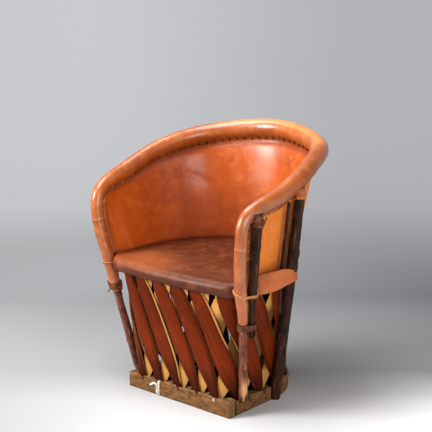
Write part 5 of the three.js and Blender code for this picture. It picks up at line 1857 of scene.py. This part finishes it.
def prop_thong(prop, sign):
    """Three strands round the neck at a prop's top, with five loose ends."""
    bm = bmesh.new()
    top = prop[-1][2]
    for strand in range(3):
        def route(i, angle, strand=strand):
            height = top - 5 + 6 * strand + 4.5 * math.sin(angle + strand * 2)
            return height + 2 * uneven(i / 9, strand * 5, sign), 5.4 + 0.8 * strand

        wind(bm, [prop], sign, 56, strand * 2.1, route, 0.0027, 0.4, 0.6)
    ends = ((-0.9, top + 2, -17), (-0.2, top - 3, -13), (0.6, top + 6, 12), (-1.5, top + 4, 9),
            (0.2, top + 9, -9))
    for number, (angle, height, lean) in enumerate(ends):
        a = belt([prop], angle, height, 6)
        out = facing_at(angle)
        turn = Vector((-out.y, out.x, 0)) * jitter(number + 40, 7)
        points = [a - out * 2, a + out * 3 + turn * 0.4 + upward(lean * 0.2),
                  a + out * 4.5 + turn + upward(lean * 0.6), a + out * 2 + turn * 1.5 + upward(lean)]
        loose_end(bm, points, sign, 0.0026, 0.35, 3, 0.5, number)
    return bm


class EQUIPALE_OT_straps(bpy.types.Operator):
    """Makes the seat straps and the lashings that tie the props to the roll"""

    bl_idname = "equipale.straps"
    bl_label = "Straps and lashings"

    def execute(self, context):
        settings = context.scene.equipale_leather
        strap_hide = leather("strap_leather", "a85c30", "70371b", "d8935c", 0.45, 0.1, 5.5, 1.2, painted_marks=True)
        collar_hide = leather("collar_leather", settings.roll_colour, "6b3013", "b5682f", 0.42, 0.3, 2.2, 1.2,
                              painted_marks=True)
        knot_hide = leather("knot_leather", "6b3519", "2c130a", "b0663a", 0.45, 0.2, 6.1, 1.4, painted_marks=True)
        lace = rawhide("lashing_thong", "74391c", "36180b", "bd7f52")
        prop = stick_line("prop_stick_right")
        post = stick_line("rear_side_post_right")
        tongue, bare_post = roll_rows(), roll_rows(ROLL_SKIN + FIT)
        for (side, sign), tilt in zip(SIDES, STRAP_TILTS):
            rings, marks = strap_rings([tongue, prop], sign, tilt)
            bm = loft(rings, is_loop=True, marks=marks)
            new_piece(f"seat_strap_{side}", bm, [strap_hide], "seat_leather", [f"seat_lashing_{side}"])
        for (side, sign), low, rows in zip(SIDES, BINDING_HEIGHTS, (bare_post, tongue)):
            bm = lower_binding([rows, prop], low, sign)
            new_piece(f"lower_binding_{side}", bm, [lace], "thong", [f"lower_lashing_{side}"])
        for name, hide, rows, stop, rise, fall, slot in (
            ("post_collar", collar_hide, post, 5.45, 22, 9, "rim_leather"),
            ("prop_knot", knot_hide, prop, 4.25, 24, 7, "thong"),
        ):
            for side, sign in SIDES:
                rings, marks = neck_rings(rows, stop, rise, fall, sign)
                new_piece(f"{name}_{side}", loft(rings, is_loop=True, marks=marks), [hide], slot)
        for side, sign in SIDES:
            new_piece(f"prop_thong_{side}", prop_thong(prop, sign), [lace], "thong")
        return {"FINISHED"}


def cord_stops():
    """Points of the tie cord, round the front plank at a notch and loosely along the plank's face."""
    notch, pitch, r = -NOTCH_X[1], 8.5, 3.4
    top = mix(PLANK_LEFT_HEIGHT, PLANK_RIGHT_HEIGHT, notch / BASE_WIDTH + 0.5)
    high, low, back = top - GROOVE_DEPTH + r + FIT, r + FIT, PLANK_THICKNESS
    turn = top - POCKET_DEPTH - 3 * r
    strand, loose = notch - pitch, 3 * pitch
    return [
        (notch, POCKET_WALL - FIT, high), (notch, FIT, high), (notch, -r / 4, high - r),
        (notch, 0, top / 2), (notch, 0, 2 * r), (notch, r, low), (notch, back / 2, low),
        (notch, back - r, low), (notch, back, 2 * r), (notch, back, turn - pitch / 2),
        (mix(notch, strand, 0.5), back + r / 4, turn),
        (strand, back, turn - pitch / 2), (strand, back, 2 * r), (strand, back - r, low),
        (strand, back / 2, low), (strand, r, low), (strand, 0, 2 * r), (strand, 0, top / 2),
        (strand - r / 2, -r / 2, top * 0.68), (strand - loose * 0.45, -r - FIT, top * 0.74),
        (strand - loose, -r - FIT, top * 0.56),
    ]


def twisted_ply(path, ply):
    """The centre line of one ply of the cord, twisted round the cord's path."""
    points, side, run = [], Vector((1, 0, 0)), 0.0
    for i, point in enumerate(path):
        travel = (path[min(i + 1, len(path) - 1)] - path[max(i - 1, 0)]).normalized()
        side = (side - travel * side.dot(travel)).normalized()
        run += (point - path[max(0, i - 1)]).length
        angle = run / TWIST_LENGTH * math.tau + ply * math.tau / PLIES
        points.append(point + side * (PLY_OFFSET * math.cos(angle))
                      + travel.cross(side) * (PLY_OFFSET * math.sin(angle)))
    return points


def notch_spots():
    """Where the slat tips stand in the planks: the place, the way out of the base and the plank's height."""
    half = BASE_WIDTH / 2
    spots = []
    for x in (-NOTCH_X[2], 0, NOTCH_X[1], NOTCH_X[2]):
        top = PLANK_LEFT_HEIGHT + (PLANK_RIGHT_HEIGHT - PLANK_LEFT_HEIGHT) * (x / BASE_WIDTH + 0.5)
        spots.append((Vector((x, SLAT_INSET, 0)), Vector((0, -1, 0)), top))
    for y in NOTCH_Y:
        spots.append((Vector((half - SLAT_INSET, y, 0)), Vector((1, 0, 0)), SIDE_HEIGHT))
        spots.append((Vector((SLAT_INSET - half, y, 0)), Vector((-1, 0, 0)), SIDE_HEIGHT))
    tip_half, bow = half - SLAT_INSET, REAR_BOW - SLAT_INSET - SIDE_POST_SETBACK
    arc = Line([(tip_half * math.cos(a), SIDE_POST_SETBACK + bow * math.sin(a), 0)
                for a in (math.pi / 2 * i / 90 for i in range(91))])
    for share in REAR_SHARES:
        p = arc.at(share)
        out = Vector((p.x / tip_half ** 2, (p.y - SIDE_POST_SETBACK) / bow ** 2, 0)).normalized()
        spots.append((p, out, SIDE_HEIGHT))
        spots.append((Vector((-p.x, p.y, 0)), Vector((-out.x, out.y, 0)), SIDE_HEIGHT))
    return spots


def notch_thongs(bm, number, p, out, top):
    """Adds the three raw ends that hang out of one notch."""
    side = Vector((-out.y, out.x, 0))
    for k in range(3):
        rnd = random.Random(number * 7 + k)
        base = p + side * (k * 3.0 - 3.0 + rnd.uniform(-0.6, 0.6)) + upward(top)
        hang = rnd.uniform(4, 11)
        points = [
            base + out * 8 + upward(-7.5), base + out * 13 + upward(-6.5),
            base + out * (SLAT_INSET + 1.5) + upward(-6.5),
            base + out * (SLAT_INSET + 3.2) + side * rnd.uniform(-2, 2) + upward(-7 - hang * 0.5),
            base + out * (SLAT_INSET + 1.8) + side * rnd.uniform(-4, 4) + upward(-7 - hang),
        ]
        thong(bm, curve(points, 3), 0.0017, 0.4, 3, 6, 0.7, k)


class EQUIPALE_OT_cord(bpy.types.Operator):
    """Makes the twisted tie cord and the thongs that hold the slat tips in the notches"""

    bl_idname = "equipale.cord"
    bl_label = "Tie cord and notch thongs"

    def execute(self, context):
        cord = fibre_cord("tie_cord", "e0dad0", "a09687")
        path = curve(cord_stops(), 12)
        bm = bmesh.new()
        for ply in range(PLIES):
            loft(tube_rings(twisted_ply(path, ply), PLY_RADIUS, 6), bm=bm)
        new_piece("twisted_cord", bm, [cord], "cord", ["base_tie_cord"])
        pale = rawhide("pale_thong", "c9b49c", "8a6a50", "e8ddcf")
        dark = rawhide("notch_thong", "8c5133", "54301d", "c08e6a")
        for kind, material in (("pale", pale), ("dark", dark)):
            bm = bmesh.new()
            for number, spot in enumerate(notch_spots()):
                if (kind == "pale") == (number == PALE_SPOT):
                    notch_thongs(bm, number, *spot)
            new_piece(f"{kind}_notch_thongs", bm, [material], "thong")
        return {"FINISHED"}


class EQUIPALE_PT_panel(bpy.types.Panel):
    """Lists the chair's pieces"""

    bl_idname = "EQUIPALE_PT_panel"
    bl_label = "Equipale"
    bl_space_type = "VIEW_3D"
    bl_region_type = "UI"
    bl_category = "Equipale"

    def draw(self, context):
        scene = context.scene
        for group in (scene.equipale_leather, scene.equipale_wood, scene.equipale_stage):
            box = self.layout.box()
            for key in group.__annotations__:
                box.prop(group, key)
        for operator in OPERATORS:
            self.layout.operator(operator.bl_idname)


GROUPS = (EquipaleLeather, EquipaleWood, EquipaleStage)
OPERATORS = (EQUIPALE_OT_stage, EQUIPALE_OT_roll, EQUIPALE_OT_seat, EQUIPALE_OT_back, EQUIPALE_OT_lacing,
             EQUIPALE_OT_slats, EQUIPALE_OT_sticks, EQUIPALE_OT_planks, EQUIPALE_OT_straps, EQUIPALE_OT_cord)


def register():
    for item in (*GROUPS, *OPERATORS, EQUIPALE_PT_panel):
        bpy.utils.register_class(item)
    bpy.types.Scene.equipale_leather = bpy.props.PointerProperty(type=EquipaleLeather)
    bpy.types.Scene.equipale_wood = bpy.props.PointerProperty(type=EquipaleWood)
    bpy.types.Scene.equipale_stage = bpy.props.PointerProperty(type=EquipaleStage)


def unregister():
    for name in ("equipale_leather", "equipale_wood", "equipale_stage"):
        delattr(bpy.types.Scene, name)
    for item in reversed((*GROUPS, *OPERATORS, EQUIPALE_PT_panel)):
        bpy.utils.unregister_class(item)


def main():
    register()
    for operator in OPERATORS:
        group, name = operator.bl_idname.split(".")
        getattr(getattr(bpy.ops, group), name)()


if __name__ == "__main__":
    main()
